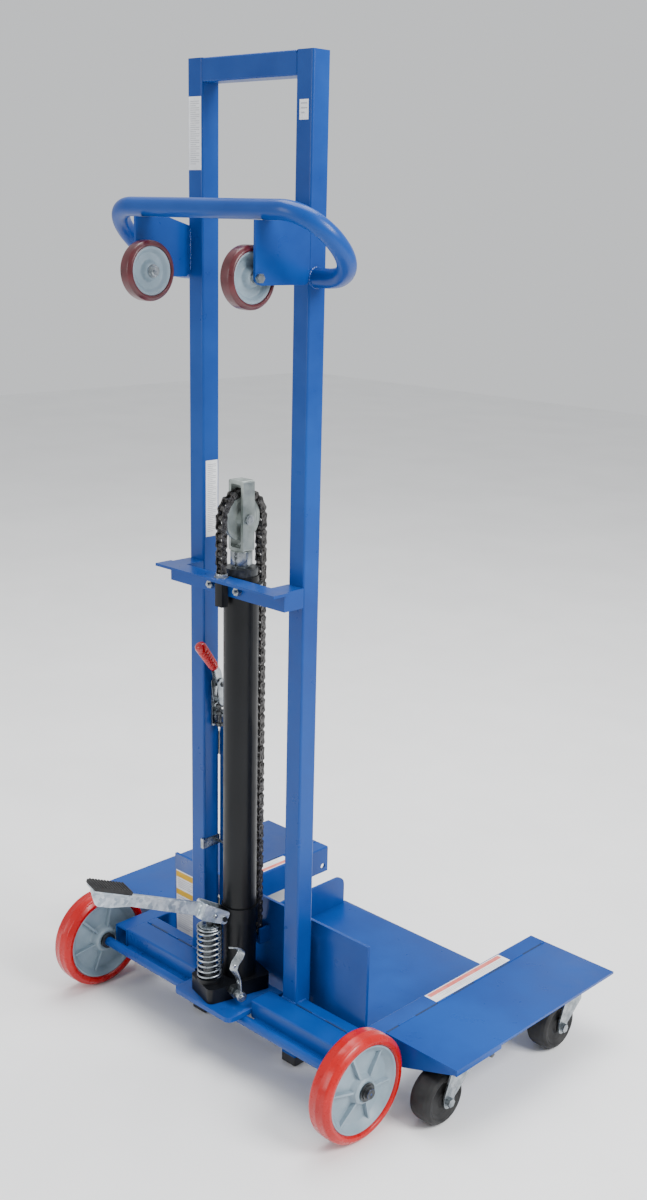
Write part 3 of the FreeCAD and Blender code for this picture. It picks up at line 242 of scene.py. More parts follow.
def across(axis, centre):
    """The matrix that lays a shape's own X axis along a direction at a place, in millimetres."""
    turn = Vector(axis).to_track_quat("X", "Z").to_matrix().to_4x4()
    return Matrix.Translation(Vector(centre)) @ turn


SMOOTH_BELOW = 35.0
BEVEL_ABOVE = 40.0


class Shape:
    """Vertices and faces being gathered for one piece, in millimetres."""

    def __init__(self):
        self.verts = []
        self.faces = []
        self.marks = []

    def add(self, verts, faces, place=None, mark=0):
        start = len(self.verts)
        place = place or Matrix.Identity(4)
        self.verts += [place @ Vector(v) for v in verts]
        self.faces += [[start + k for k in face] for face in faces]
        self.marks += [mark] * len(faces)
        return self

    def turned(self, outline, place, steps=72, closed=True):
        """Turn an (along, radius) outline about the shape's own X axis."""
        rows = len(outline)
        verts = []
        for k in range(steps):
            angle = 2 * math.pi * k / steps
            verts += [(a, r * math.cos(angle), r * math.sin(angle)) for a, r in outline]
        faces = []
        for k in range(steps):
            here, there = k * rows, (k + 1) % steps * rows
            for i in range(rows if closed else rows - 1):
                j = (i + 1) % rows
                faces.append([here + i, there + i, there + j, here + j])
        if not closed:
            faces.append([k * rows for k in range(steps)])
            faces.append([k * rows + rows - 1 for k in reversed(range(steps))])
        return self.add(verts, faces, place)

    def prism(self, outline, low, high, place=None, mark=0):
        """Draw an outline in the shape's own YZ plane out from low to high along X."""
        count = len(outline)
        verts = [(low, y, z) for y, z in outline] + [(high, y, z) for y, z in outline]
        faces = [[i, (i + 1) % count, count + (i + 1) % count, count + i] for i in range(count)]
        faces += [list(reversed(range(count))), list(range(count, 2 * count))]
        return self.add(verts, faces, place, mark)

    def swept(self, path, section, closed=False, scale=None, twist=None, up=(0, 0, 1)):
        """Carry a flat section along a path of points; scale and twist give its size and turn at each."""
        count, rows = len(path), len(section)
        path = [Vector(p) for p in path]
        verts = []
        side = Vector(up)
        for k, point in enumerate(path):
            ahead = path[(k + 1) % count] if closed or k < count - 1 else point
            behind = path[k - 1] if closed or k > 0 else point
            along = (ahead - behind).normalized()
            side = (side - along * side.dot(along)).normalized()
            other = along.cross(side)
            angle = twist[k] if twist else 0.0
            u = side * math.cos(angle) + other * math.sin(angle)
            v = other * math.cos(angle) - side * math.sin(angle)
            size = scale[k] if scale else 1.0
            verts += [point + (u * a + v * b) * size for a, b in section]
        faces = []
        for k in range(count if closed else count - 1):
            here, there = k * rows, (k + 1) % count * rows
            for i in range(rows):
                j = (i + 1) % rows
                faces.append([here + i, here + j, there + j, there + i])
        if not closed:
            faces += [list(reversed(range(rows))), [(count - 1) * rows + i for i in range(rows)]]
        return self.add(verts, faces)

    def piece(self, name, body, slot, replaces=(), bevel=0.0, looks=None):
        """Make the mesh in its slot's material, or in other looks, and let it ride on its body."""
        mesh = bpy.data.meshes.new(name)
        mesh.from_pydata([v * MM for v in self.verts], [], self.faces)
        for material in looks or [MATERIALS[slot]]:
            mesh.materials.append(material)
        mesh.polygons.foreach_set("material_index", self.marks)
        mesh.validate()
        mesh.update()
        made = bpy.data.objects.new(name, mesh)
        bpy.context.scene.collection.objects.link(made)
        bpy.context.view_layer.objects.active = made
        made.select_set(True)
        bpy.ops.object.mode_set(mode="EDIT")
        bpy.ops.mesh.select_all(action="SELECT")
        bpy.ops.mesh.normals_make_consistent(inside=False)
        bpy.ops.object.mode_set(mode="OBJECT")
        bpy.ops.object.shade_smooth_by_angle(angle=math.radians(SMOOTH_BELOW))
        made.select_set(False)
        if bevel:
            edge = made.modifiers.new("edge", "BEVEL")
            edge.width = bevel * MM
            edge.segments = 2
            edge.limit_method = "ANGLE"
            edge.angle_limit = math.radians(BEVEL_ABOVE)
            edge.harden_normals = True
        if body:
            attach(made, body)
        if replaces:
            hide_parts(*replaces)
        return made


def slot_outline(start, start_radius, end, end_radius):
    """The outline round two circles, with straight sides between them."""
    steps = 14
    start, end = Vector(start), Vector(end)
    along = end - start
    heading = math.atan2(along.y, along.x)
    tilt = math.acos(max(-1.0, min(1.0, (start_radius - end_radius) / along.length)))
    made = []
    for centre, radius, first, last in ((start, start_radius, tilt, 2 * math.pi - tilt),
                                        (end, end_radius, -tilt, tilt)):
        for k in range(steps + 1):
            angle = heading + first + (last - first) * k / steps
            made.append((centre.x + radius * math.cos(angle), centre.y + radius * math.sin(angle)))
    return made


def hexagon(across_flats):
    return circle(across_flats / math.sqrt(3), 6)


def circle(radius, steps=12):
    return [(radius * math.cos(2 * math.pi * k / steps), radius * math.sin(2 * math.pi * k / steps))
            for k in range(steps)]


def box_mm(node):
    low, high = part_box(node)
    return low / MM, high / MM


def middle_of(node):
    low, high = box_mm(node)
    return (low + high) / 2


def joint_of(name):
    return next(joint for joint in frame["joints"] if joint["name"] == name)


# ---------------------------------------------------------------- places read from the frame

mast_low, mast_high = box_mm("mast_right")
mast_y = mast_low.y
mast_top = mast_high.z
mast_in, mast_out = mast_low.x, mast_high.x
rail_low, rail_high = box_mm("side_rail_right")
wing_low, wing_high = box_mm("wing_right")
cross_high = box_mm("cross_tubes")[1]
barrel_low, barrel_high = box_mm("cylinder_barrel")
cylinder_y = (barrel_low.y + barrel_high.y) / 2
sheave_z = middle_of("sheave").z


# ---------------------------------------------------------------- wheels

AXLE_BORE = 9.6
BOLT_BORE = 4.85
RIBS = 6
RIB_START = 18.0
RIB_HALF = 2.2


def make_rear_wheel(side_name, side):
    """A poly tyre with its mould line, on a moulded rim with six ribs on each face."""
    body = f"rear_wheel_{side_name}"
    low, high = box_mm(f"rear_tyre_{side_name}")
    outer = (high.z - low.z) / 2
    half = (high.x - low.x) / 2
    centre = (low + high) / 2
    rim_low, rim_high = box_mm(f"rear_rim_{side_name}")
    seat = (rim_high.z - rim_low.z) / 2
    place = across((side, 0, 0), centre)
    tread = half - 6
    tyre = Shape().turned(rounded([
        (-tread, seat - 0.2), (tread, seat - 0.2), (half - 1, seat + 3, 2.0), (half, outer - 10, 5.0),
        (half - 7, outer - 0.6, 7.0), (1.6, outer), (1.0, outer + 0.25), (-1.0, outer + 0.25), (-1.6, outer),
        (7 - half, outer - 0.6, 7.0), (-half, outer - 10, 5.0), (1 - half, seat + 3, 2.0)], steps=6),
        place, steps=128)
    tyre.piece(f"tyre_{body}", body, "red_poly", [f"rear_tyre_{side_name}"])
    bore = AXLE_BORE
    rim = Shape().turned(rounded([
        (-half + 1, bore + 6), (half - 1, bore + 6), (half, bore + 11, 1.5), (half - 3, bore + 15, 3.0),
        (8, bore + 20, 5.0), (5.5, seat - 15, 5.0), (half - 9, seat - 6, 4.0), (tread + 1.5, seat - 3, 1.2),
        (tread + 1.0, seat), (-tread - 1.0, seat), (-tread - 1.5, seat - 3, 1.2), (9 - half, seat - 6, 4.0),
        (-5.5, seat - 15, 5.0), (-8, bore + 20, 5.0), (3 - half, bore + 15, 3.0), (-half, bore + 11, 1.5)],
        steps=4), place, steps=96)
    for k in range(RIBS):
        spoke = place @ Matrix.Rotation(math.radians(360 / RIBS * k + RIB_START), 4, "X")
        rise = rounded([(bore + 13, -4), (bore + 13, half - 6, 3.0), (seat - 12, half - 12, 6.0),
                        (seat - 5, half - 11), (seat - 5, -4)], steps=3)
        for face in (1, -1):
            blade = Shape().prism(rise, -RIB_HALF, RIB_HALF)
            swap = [(v.z, v.x, v.y) for v in blade.verts]
            flip = spoke @ Matrix.Scale(face, 4, (1, 0, 0))
            rim.add(swap, blade.faces, flip)
    rim.piece(f"rim_{body}", body, "grey_rim", [f"rear_rim_{side_name}"], bevel=0.5)
    bearing = Shape()
    for face in (1, -1):
        cap = place @ Matrix.Scale(face, 4, (1, 0, 0))
        bearing.turned(rounded([(half - 4, bore), (half + 0.1, bore), (half + 0.3, bore + 2, 0.4),
                                (half - 0.8, bore + 3, 0.4), (half - 0.8, bore + 6.6),
                                (half - 4, bore + 6.6)], steps=2), cap, steps=64)
    bearing.piece(f"bearing_{body}", body, "zinc_plate")


def make_transport_wheel(side_name):
    """A small maroon tyre on a dished metal rim, with its bearing sleeves."""
    body = f"transport_wheel_{side_name}"
    low, high = box_mm(f"transport_tyre_{side_name}")
    outer = (high.z - low.z) / 2
    half = (high.x - low.x) / 2
    centre = (low + high) / 2
    rim_low, rim_high = box_mm(f"transport_rim_{side_name}")
    seat = (rim_high.z - rim_low.z) / 2
    place = across((1, 0, 0), centre)
    tyre = Shape().turned(rounded([
        (3.5 - half, seat - 0.2), (half - 3.5, seat - 0.2), (half - 0.5, seat + 1.5, 1.2),
        (half, outer - 6, 4.0), (half - 5, outer - 0.3, 4.0), (0, outer), (5 - half, outer - 0.3, 4.0),
        (-half, outer - 6, 4.0), (0.5 - half, seat + 1.5, 1.2)], steps=5), place, steps=96)
    tyre.piece(f"tyre_{body}", body, "maroon_poly",
               [f"transport_tyre_{side_name}"])
    bore = BOLT_BORE
    profile = [(half - 0.2, bore + 3), (half - 0.2, bore + 7, 1.5), (half - 4, bore + 9.5, 2.0),
               (3.5, bore + 13, 4.0), (3.0, seat - 10, 4.0), (half - 5, seat - 5, 2.5),
               (half - 2.4, seat - 2, 1.0), (half - 3.2, seat)]
    mirror = [(-p[0], *p[1:]) for p in reversed(profile)]
    rim = Shape().turned(rounded(profile + mirror, steps=4), place, steps=80)
    rim.piece(f"rim_{body}", body, "grey_rim", [f"transport_rim_{side_name}"])
    sleeve = Shape()
    for face in (1, -1):
        sleeve.turned(rounded([(half - 3, bore), (half + 0.6, bore), (half + 0.6, bore + 4.5, 0.8),
                               (half - 3, bore + 4.5)], steps=2),
                      place @ Matrix.Scale(face, 4, (1, 0, 0)), steps=40)
    sleeve.piece(f"sleeve_{body}", body, "zinc_plate")


def make_caster_wheel(name):
    """A solid rubber wheel: a crowned tread, a groove at each shoulder and a moulded hub."""
    body = f"caster_roller_{name}"
    low, high = box_mm(f"caster_wheel_{name}")
    outer = (high.z - low.z) / 2
    half = (high.x - low.x) / 2
    side = [(half, 6), (half, 14, 1.5), (half - 5, 17, 2.0), (half - 7, outer - 20, 3.0),
            (half - 4, outer - 15, 2.0), (half - 2.5, outer - 13, 0.8), (half - 3.2, outer - 12, 0.4),
            (half - 1.2, outer - 10.5, 1.0), (half, outer - 7, 3.0), (half - 5, outer - 2.2, 4.0),
            (half - 12, outer - 0.2, 6.0)]
    mirror = [(-p[0], *p[1:]) for p in reversed(side)]
    wheel = Shape().turned(rounded(side + [(0, outer)] + mirror, steps=4),
                           across((1, 0, 0), (low + high) / 2), steps=88)
    wheel.piece(f"wheel_{body}", body, "black_rubber", [f"caster_wheel_{name}"])


for side_name, side in SIDES:
    make_rear_wheel(side_name, side)
    make_transport_wheel(side_name)
    for row in ("back", "front"):
        make_caster_wheel(f"{row}_{side_name}")


# ---------------------------------------------------------------- chain

PITCH = 15.875
ROLLER = 5.08
PLATE = 7.1
WAIST = 5.2
PIN = 2.5
REAR_SHRINK = 0.04
FRONT_SHRINK = 0.06
RAM_SHRINK = 0.5
STROKE = 560.0
chain_low, chain_high = box_mm("chain_front")
chain_radius = (chain_low.y + chain_high.y) / 2 - cylinder_y
anchor_z = box_mm("chain_rear")[0].z + 2
rise = sheave_z - anchor_z
around = math.pi * chain_radius
drop = sheave_z - chain_low.z - 4


def on_chain(distance):
    """The (y, z) place on the chain's line at a distance from its anchor."""
    if distance <= rise:
        return Vector((cylinder_y - chain_radius, anchor_z + distance))
    if distance <= rise + around:
        angle = (distance - rise) / chain_radius
        return Vector((cylinder_y - chain_radius * math.cos(angle),
                       sheave_z + chain_radius * math.sin(angle)))
    return Vector((cylinder_y + chain_radius, sheave_z - (distance - rise - around)))


def add_link(shape, index, shrink=0.0):
    """One link of the chain: a pair of waisted plates, a roller or bush, and its pin."""
    start, end = on_chain(index * PITCH), on_chain((index + 1) * PITCH)
    middle = (start + end) / 2
    along = (end - start).normalized()
    half = (end - start).length / 2
    plate = PLATE - shrink
    waist = WAIST - shrink
    outline = []
    for k in range(9):
        angle = math.radians(-70 + 140 * k / 8)
        outline.append((half + plate * math.cos(angle), plate * math.sin(angle)))
    outline.append((0, waist))
    for k in range(9):
        angle = math.radians(110 + 140 * k / 8)
        outline.append((plate * math.cos(angle) - half, plate * math.sin(angle)))
    outline.append((0, -waist))
    placed = [(middle.x + a * along.x - b * along.y, middle.y + a * along.y + b * along.x)
              for a, b in outline]
    outer = index % 2
    inside, outside = (6.9, 8.9) if outer else (4.8, 6.7)
    for sign in (1, -1):
        shape.prism(placed, sign * (inside + shrink), sign * (outside - shrink))
    for point in ([start, end] if not outer else []):
        barrel = rounded([(-4.6, 2.6), (-4.6, ROLLER - shrink, 0.6), (4.6, ROLLER - shrink, 0.6),
                          (4.6, 2.6)], steps=1)
        shape.turned(barrel, across((1, 0, 0), (0, point.x, point.y)), steps=16)
    if outer:
        for point in (start, end):
            pin = rounded([(-10.3, 0.4), (-10.3, PIN - shrink, 0.6), (10.3, PIN - shrink, 0.6),
                           (10.3, 0.4)], closed=False, steps=1)
            shape.turned(pin, across((1, 0, 0), (0, point.x, point.y)), steps=12, closed=False)


def steady_blend(piece):
    """Bake a piece's placement into its mesh."""
    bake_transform(piece)


def chain_shape(links, shrink=0.0):
    """The links of one group. Groups that can lie over each other are each shrunk a little more."""
    shape = Shape()
    for index in links:
        add_link(shape, index, shrink)
    return shape


links_total = int((rise + around + drop) / PITCH)
first_wrap = int(rise / PITCH)
first_front = int((rise + around) / PITCH) + 1
rear_run = first_wrap - first_wrap % 2
for copy in range(int(STROKE / PITCH / rear_run) + 1):
    made = chain_shape(range(rear_run), REAR_SHRINK * (copy + 1) if copy else 0.0).piece(
        f"chain_rear_{copy}", None, "chain_steel")
    if copy == 0:
        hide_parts("chain_rear")
    steady_blend(made)
wrap = chain_shape(range(first_wrap, first_front))
for index in range(first_wrap):
    add_link(wrap, index, RAM_SHRINK)
wrap.piece("chain_over_sheave", "ram", "chain_steel", ["chain_wrap"])
front_run = int((drop - STROKE) / PITCH) // 2 * 2 - 2
groups = {}
for index in range(first_front, links_total):
    hops = (index - first_front) // front_run
    shift = min(hops * front_run * PITCH, STROKE)
    if index >= links_total - 2:
        shift = STROKE
    groups.setdefault(round(shift, 3), []).append(index)
for number, (shift, links) in enumerate(sorted(groups.items())):
    made = chain_shape(links, FRONT_SHRINK * number).piece(
        f"chain_front_{number}", None, "chain_steel")
    if number == 0:
        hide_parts("chain_front")
    steady_blend(made)


# ---------------------------------------------------------------- pump spring, lever, pedal pad and grip

PUMP_TURN = math.radians(-14.0)
PEDAL_RISE = math.radians(20.5)
TOGGLE_LEAN = math.radians(36.0)
SPRING_OVER = 10.0
SPRING_WIRE = 2.2
PAD_RIBS = 12
PAD_GROOVE = 1.8
GRIP_RINGS = 7

pump_turned = Matrix.Translation((0, cylinder_y, 0)) @ Matrix.Rotation(PUMP_TURN, 4, "Z")
pedal_pivot = Vector(joint_of("pedal_press")["pos_m"]) / MM
pedal_across = pump_turned.inverted() @ pedal_pivot
arm_place = pump_turned @ Matrix.Translation(pedal_across) @ Matrix.Rotation(-PEDAL_RISE, 4, "X")
pedal_tip = min((arm_place.inverted() @ (v.co / MM)).y for v in frame["nodes"]["pedal_pad"].data.vertices)


def make_spring():
    """The pump's return spring, a coil whose first and last turns are closed up."""
    low, high = box_mm("pump_spring")
    centre = (low + high) / 2
    wire = SPRING_WIRE
    coil = (high.x - low.x) / 2
    turns, per_turn = 10, 40
    bottom, top = low.z + wire, high.z + SPRING_OVER - wire
    path = []
    for k in range(turns * per_turn + 1):
        part = k / (turns * per_turn)
        even = (part * turns - 0.5) / (turns - 1)
        level = bottom + (top - bottom) * min(max(even, 0.0), 1.0)
        angle = 2 * math.pi * turns * part
        path.append((centre.x + coil * math.cos(angle), centre.y + coil * math.sin(angle), level))
    made = Shape().swept(path, circle(wire, 12)).piece(
        "spring_coil", None, "zinc_plate", ["pump_spring"])
    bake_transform(made)


def make_pedal():
    """The pedal: a bent fork with its two pins, the bar on edge behind it and the plate under the pad."""
    outline = [(9, -12, 6.0), (9, 14, 6.0), (-49, 23, 5.0), (-49, -9, 5.0)]
    shape = Shape()
    for side in (-1, 1):
        shape.prism(rounded(outline), side * 14, side * 18, arm_place)
    half_nose = [(14, -44), (13, -48), (9, -50.5), (4, -51.5)]
    path = half_nose + [(0, -51.8)] + [(-x, y) for x, y in reversed(half_nose)]
    wall = [(x * 1.14, y) for x, y in path] + [(x * 0.86, y + 4) for x, y in reversed(path)]
    low, high = -8.5, 22.5
    verts = [(x, y, low) for x, y in wall] + [(x, y, high) for x, y in wall]
    count = len(wall)
    faces = [[i, (i + 1) % count, count + (i + 1) % count, count + i] for i in range(count)]
    faces += [[i, i + 1, count - 2 - i, count - 1 - i] for i in range(len(path) - 1)]
    faces += [[count + i, count + i + 1, 2 * count - 2 - i, 2 * count - 1 - i]
              for i in range(len(path) - 1)]
    shape.add(verts, faces, arm_place)
    shape.prism(rounded([(-44, 3), (-20, 3), (-20, 7), (-44, 7)]), -14.2, 14.2, arm_place)
    tip = pedal_tip
    bar = rounded([(-48, -6), (-48, 20, 2.0), (tip + 72, 20), (tip + 4, 24), (tip + 4, 16),
                   (tip + 22, -10, 8.0), (tip + 50, -10, 20.0), (tip + 90, -3, 30.0)], steps=6)
    shape.prism(bar, -4, 4, arm_place)
    shape.prism([(tip + 2, 20.2), (tip + 74, 20.2), (tip + 74, 23.9), (tip + 2, 23.9)], -19, 19, arm_place)
    shape.piece("pedal_fork", "pedal", "galvanised", ["pedal_arm"], bevel=0.9)
    pins = Shape()
    for y, z, radius in ((0, 0, 5.2), (-21, 2, 4.6)):
        for side in (-1, 1):
            face = arm_place @ Matrix.Translation((0, y, z)) @ Matrix.Scale(side, 4, (1, 0, 0))
            pins.turned(rounded([(17.5, 0.3), (17.5, radius), (19.2, radius, 0.8), (20.6, radius - 1.8, 0.8),
                                 (20.6, 0.3)], closed=False, steps=3), face, steps=28, closed=False)
    pins.piece("pedal_pins", "pedal", "zinc_plate")
    seam = Shape()
    for x in (-4.6, 4.6):
        points = [arm_place @ Vector((x, -52.2, z)) for z in range(-5, 20)]
        seam.swept(points, circle(1.9, 8), scale=[1.0 + 0.2 * math.sin(k * 1.9) for k in range(len(points))],
                   up=(0, 1, 0))
    seam.piece("pedal_weld", "pedal", "galvanised")


def make_spring_seat():
    """The pressed cup on the plunger that holds the top of the spring."""
    low, high = box_mm("pump_spring")
    centre = (low + high) / 2
    level = high.z + SPRING_OVER
    cup = Shape().turned(rounded([(level + 0.2, 6.2), (level + 0.2, 21, 1.0), (level + 1.8, 21, 1.0),
                                  (level + 3.6, 14, 2.0), (level + 3.6, 6.2)], steps=3),
                         across((0, 0, 1), (centre.x, centre.y, 0)), steps=56)
    cup.piece("spring_cup", "plunger", "zinc_plate")


def make_release_lever():
    """The flat strap of the release lever, twisted as it rises, on its bossed hub."""
    joint = joint_of("release_turn")
    hub = Vector(joint["pos_m"]) / MM
    axis = Vector(joint["axis"])
    back = axis.cross(Vector((0, 0, 1)))
    shape = Shape()
    shape.turned(rounded([(-9, 5.2), (-9, 10, 1.0), (9, 10, 1.0), (9, 5.2)], steps=2),
                 across(axis, hub), steps=40)
    stations = [(0, 4, 0.0), (1, 20, 0.0), (3, 36, 0.15), (9, 50, 0.45), (14, 60, 0.7), (10, 72, 0.75),
                (0, 84, 0.7), (-3, 91, 0.6), (2, 98, 0.5), (12, 104, 0.45), (22, 107, 0.4)]
    path, turns = [], []
    for k in range(len(stations) - 1):
        (a, z, t), (b, w, u) = stations[k], stations[k + 1]
        for part in (0.0, 0.25, 0.5, 0.75):
            path.append(hub + back * (a + (b - a) * part) + Vector((0, 0, z + (w - z) * part)))
            turns.append(t + (u - t) * part)
    smooth = [path[0]] + [(path[i - 1] + path[i] * 2 + path[i + 1]) / 4 for i in range(1, len(path) - 1)]
    smooth.append(path[-1])
    strap = rounded([(-1.5, -8, 1.2), (1.5, -8, 1.2), (1.5, 8, 1.2), (-1.5, 8, 1.2)], steps=3)
    shape.swept(smooth, strap, twist=turns, up=back)
    for height, forward in ((30, 2), (66, 12)):
        spot = hub + back * forward + Vector((0, 0, height))
        shape.turned(rounded([(-2.5, 0.3), (-2.5, 4.0), (2.5, 4.0), (3.6, 2.6, 0.8), (3.6, 0.3)],
                             closed=False, steps=2), across(axis, spot), steps=24, closed=False)
    shape.piece("release_strap", "release_lever", "zinc_plate",
                ["release_lever"])


def make_pad():
    """The ribbed rubber pad on the pedal."""
    corners = [arm_place.inverted() @ (v.co / MM) for v in frame["nodes"]["pedal_pad"].data.vertices]
    low = [min(c[k] for c in corners) for k in range(3)]
    high = [max(c[k] for c in corners) for k in range(3)]
    groove = high[2] - PAD_GROOVE
    step = (high[1] - low[1] - 4) / PAD_RIBS
    profile = [(low[1], low[2], 1.0), (high[1], low[2], 1.0), (high[1], groove, 1.0)]
    for k in range(PAD_RIBS):
        top = high[1] - 2 - step * k
        profile += [(top, groove), (top - step * 0.15, high[2]), (top - step * 0.6, high[2]),
                    (top - step * 0.75, groove)]
    profile += [(low[1], groove, 1.0)]
    Shape().prism(rounded(profile, steps=2), low[0], high[0], arm_place).piece(
        "pedal_tread", "pedal", "black_rubber", ["pedal_pad"], bevel=0.6)


def make_grip():
    """The dipped grip on the toggle lever, with its finger rings."""
    points = [v.co / MM for v in frame["nodes"]["toggle_grip"].data.vertices]
    axis = Vector((0, -math.sin(TOGGLE_LEAN), math.cos(TOGGLE_LEAN)))
    mean = sum(points, Vector()) / len(points)
    reach = [(p - mean).dot(axis) for p in points]
    low, high = min(reach), max(reach)
    left, right = min(p.x for p in points), max(p.x for p in points)
    radius = (right - left) / 2
    square_to_axis = Vector((0, math.cos(TOGGLE_LEAN), math.sin(TOGGLE_LEAN)))
    offsets = [(p - mean).dot(square_to_axis) for p in points]
    base = mean + square_to_axis * ((max(offsets) + min(offsets)) / 2)
    base.x = (right + left) / 2
    outline = [(low, 4), (low, radius - 3.4, 1.0), (low + 5, radius - 2.2, 1.0)]
    ring_length = (high - low - 16) / GRIP_RINGS
    for k in range(GRIP_RINGS):
        start = low + 6 + ring_length * k
        crest = radius - 1.6 + k * 0.25
        outline += [(start, crest - 2.2, 0.5), (start + ring_length * 0.35, crest, 1.2),
                    (start + ring_length * 0.7, crest, 1.2)]
    outline += [(high - 9, radius - 0.2, 2.0), (high - 0.5, radius - 1.5, 7.5), (high, 0.5)]
    Shape().turned(rounded(outline, closed=False, steps=3), across(axis, base), steps=48, closed=False).piece(
        "grip_vinyl", "toggle_lever", "red_grip", ["toggle_grip"])


make_spring()
make_spring_seat()
make_pedal()
make_release_lever()
make_pad()
make_grip()


# ---------------------------------------------------------------- toggle clamp

def make_clamp():
    """The clamp's base with its rounded ears and threaded spindle, and the lever between the ears."""
    pivot = Vector(joint_of("toggle_swing")["pos_m"]) / MM
    low, high = box_mm("toggle_base")
    face, outer = low.x, high.x - 2
    foot_low = low.z
    base = Shape()
    base.prism(rounded([(high.y - 18, foot_low, 3.0), (high.y, foot_low, 3.0), (high.y, pivot.z + 2, 3.0),
                        (high.y - 18, pivot.z + 2, 3.0)]), face, face + 3)
    ear = slot_outline((pivot.y, pivot.z), 11, (pivot.y + 2, pivot.z - 34), 8.5)
    for start in (pivot.x - 10.5, pivot.x + 8):
        base.prism(ear, start, start + 2.5)
    for level, height in ((pivot.z - 68, 14), (pivot.z - 42, 12)):
        base.prism(rounded([(high.y - 9, level, 2.0), (high.y, level, 2.0), (high.y, level + height, 2.0),
                            (high.y - 9, level + height, 2.0)]), face + 3, outer)
    base.piece("clamp_frame", "frame", "zinc_plate", ["toggle_base"], bevel=0.5)
    rod_y = high.y - 9
    spindle = Shape()
    upright = across((0, 0, 1), (pivot.x, rod_y, 0))
    thread = [(foot_low + 8, 0.3)]
    for k in range(26):
        level = foot_low + 8 + 1.5 * k
        thread += [(level, 3.6), (level + 0.75, 4.1)]
    thread += [(foot_low + 48, 3.6), (foot_low + 48, 0.3)]
    spindle.turned(thread, upright, steps=20, closed=False)
    for level in (foot_low + 26, foot_low + 40):
        spindle.prism(hexagon(13), level, level + 5, upright)
    spindle.turned(rounded([(foot_low + 1, 0.3), (foot_low + 1, 7, 2.0), (foot_low + 8, 7, 1.0),
                            (foot_low + 8, 0.3)], closed=False), upright, steps=32, closed=False)
    pin = across((1, 0, 0), (0, pivot.y, pivot.z))
    spindle.turned(rounded([(pivot.x + 10, 0.3), (pivot.x + 10, 5), (pivot.x + 11.8, 5, 0.8),
                            (pivot.x + 13, 3, 1.0), (pivot.x + 13, 0.3)], closed=False), pin, steps=32,
                   closed=False)
    link = slot_outline((pivot.y, pivot.z - 24), 4, (pivot.y + 2, pivot.z - 6), 4)
    spindle.prism(link, pivot.x - 1.5, pivot.x + 1.5)
    spindle.piece("clamp_spindle", "frame", "zinc_plate", bevel=0.3, looks=[DARK_STEEL])
    lever_place = Matrix.Translation(pivot) @ Matrix.Rotation(TOGGLE_LEAN, 4, "X")
    lever = Shape()
    cheek = slot_outline((0, 0), 7, (9, 22), 7)
    upper = slot_outline((9, 22), 7, (11, 33), 5)
    for start in (-5.8, 3.6):
        lever.prism(cheek, start, start + 2.2, lever_place)
        lever.prism(upper, start + 0.05, start + 2.15, lever_place)
    lever.prism(rounded([(15.5, 16, 1.0), (16.8, 34), (14.6, 34), (13.4, 16, 1.0)]), -5, 5, lever_place)
    lever.prism(rounded([(5.4, 22, 1.0), (6.6, 34), (8.6, 34), (7.4, 22, 1.0)]), -5, 5, lever_place)
    lever.piece("clamp_lever", "toggle_lever", "zinc_plate", ["toggle_handle"],
                bevel=0.4)


make_clamp()


# ---------------------------------------------------------------- small fittings

def nut(shape, place, low, high, across_flats, washer=0.0):
    """A hexagon nut along X with its end faces turned off to a cone, on a washer if it has one."""
    flats = hexagon(across_flats)
    shape.prism(flats, low, high - 0.8, place)
    shape.turned([(high - 0.9, 0.3), (high - 0.9, across_flats * 0.56), (high, across_flats * 0.49),
                  (high, 0.3)], place, steps=24, closed=False)
    if washer:
        shape.turned([(low - 1.2, 0.3), (low - 1.2, washer), (low, washer), (low, 0.3)], place, steps=32,
                     closed=False)


def make_fittings():
    """The fittings too small for the solid model: collar band, nuts, axle caps and a bolt in the wing."""
    yoke_low = box_mm("yoke")[0].z
    upright = across((0, 0, 1), (0, cylinder_y, 0))
    band = Shape().turned(rounded([(yoke_low + 0.6, 18.9), (yoke_low + 0.6, 19.7, 0.4),
                                   (yoke_low + 26, 19.7, 0.4), (yoke_low + 26, 18.9)], steps=2),
                          upright, steps=72)
    band.piece("collar_band", "ram", "zinc_plate")
    brace_high = box_mm("mast_brace")[1].z
    anchor = Shape()
    nut(anchor, across((0, 0, 1), (0, cylinder_y - chain_radius, 0)), brace_high + 1.3, brace_high + 7.2,
        20.0, washer=13.0)
    anchor.piece("anchor_nut", "frame", "zinc_plate")
    axle_end = box_mm("rear_axle")[1].x
    axle_place = middle_of("rear_rim_left")
    caps = Shape()
    for _, side in SIDES:
        end = across((side, 0, 0), (0, axle_place.y, axle_place.z))
        caps.turned(rounded([(axle_end - 8, 9.4), (axle_end - 8, 9.9), (axle_end + 0.2, 9.9, 1.2),
                             (axle_end + 0.2, 3.0, 0.5), (axle_end - 0.2, 0.3)], closed=False, steps=3),
                    end, steps=48, closed=False)
    caps.piece("axle_caps", "frame", "zinc_plate", looks=[DARK_STEEL])
    nuts = Shape()
    for side_name, side in SIDES:
        low, high = box_mm(f"transport_tyre_{side_name}")
        half = (high.x - low.x) / 2
        nut(nuts, across((-side, 0, 0), (low + high) / 2), half + 1.9, half + 8.5, 15.0, washer=11.0)
    nuts.piece("transport_nuts", "frame", "zinc_plate")
    bolts = Shape()
    for _, side in SIDES:
        spot = across((side, 0, 0), (0, wing_low.y + 104, wing_high.z - 15))
        nut(bolts, spot, wing_high.x - 9, wing_high.x - 1, 10.0)
    bolts.piece("wing_bolts", "frame", "zinc_plate", looks=[DARK_STEEL])


make_fittings()


# ---------------------------------------------------------------- welds and painted seam shade

RING_BEAD = 2.2
RIPPLE_STEP = 1.1
SEAM_SHADE_LEAST = 4


def ripple(step):
    """How thick a bead is at one of its steps, as a share of its mean thickness."""
    return 1.0 + 0.14 * math.sin(step * 1.9)


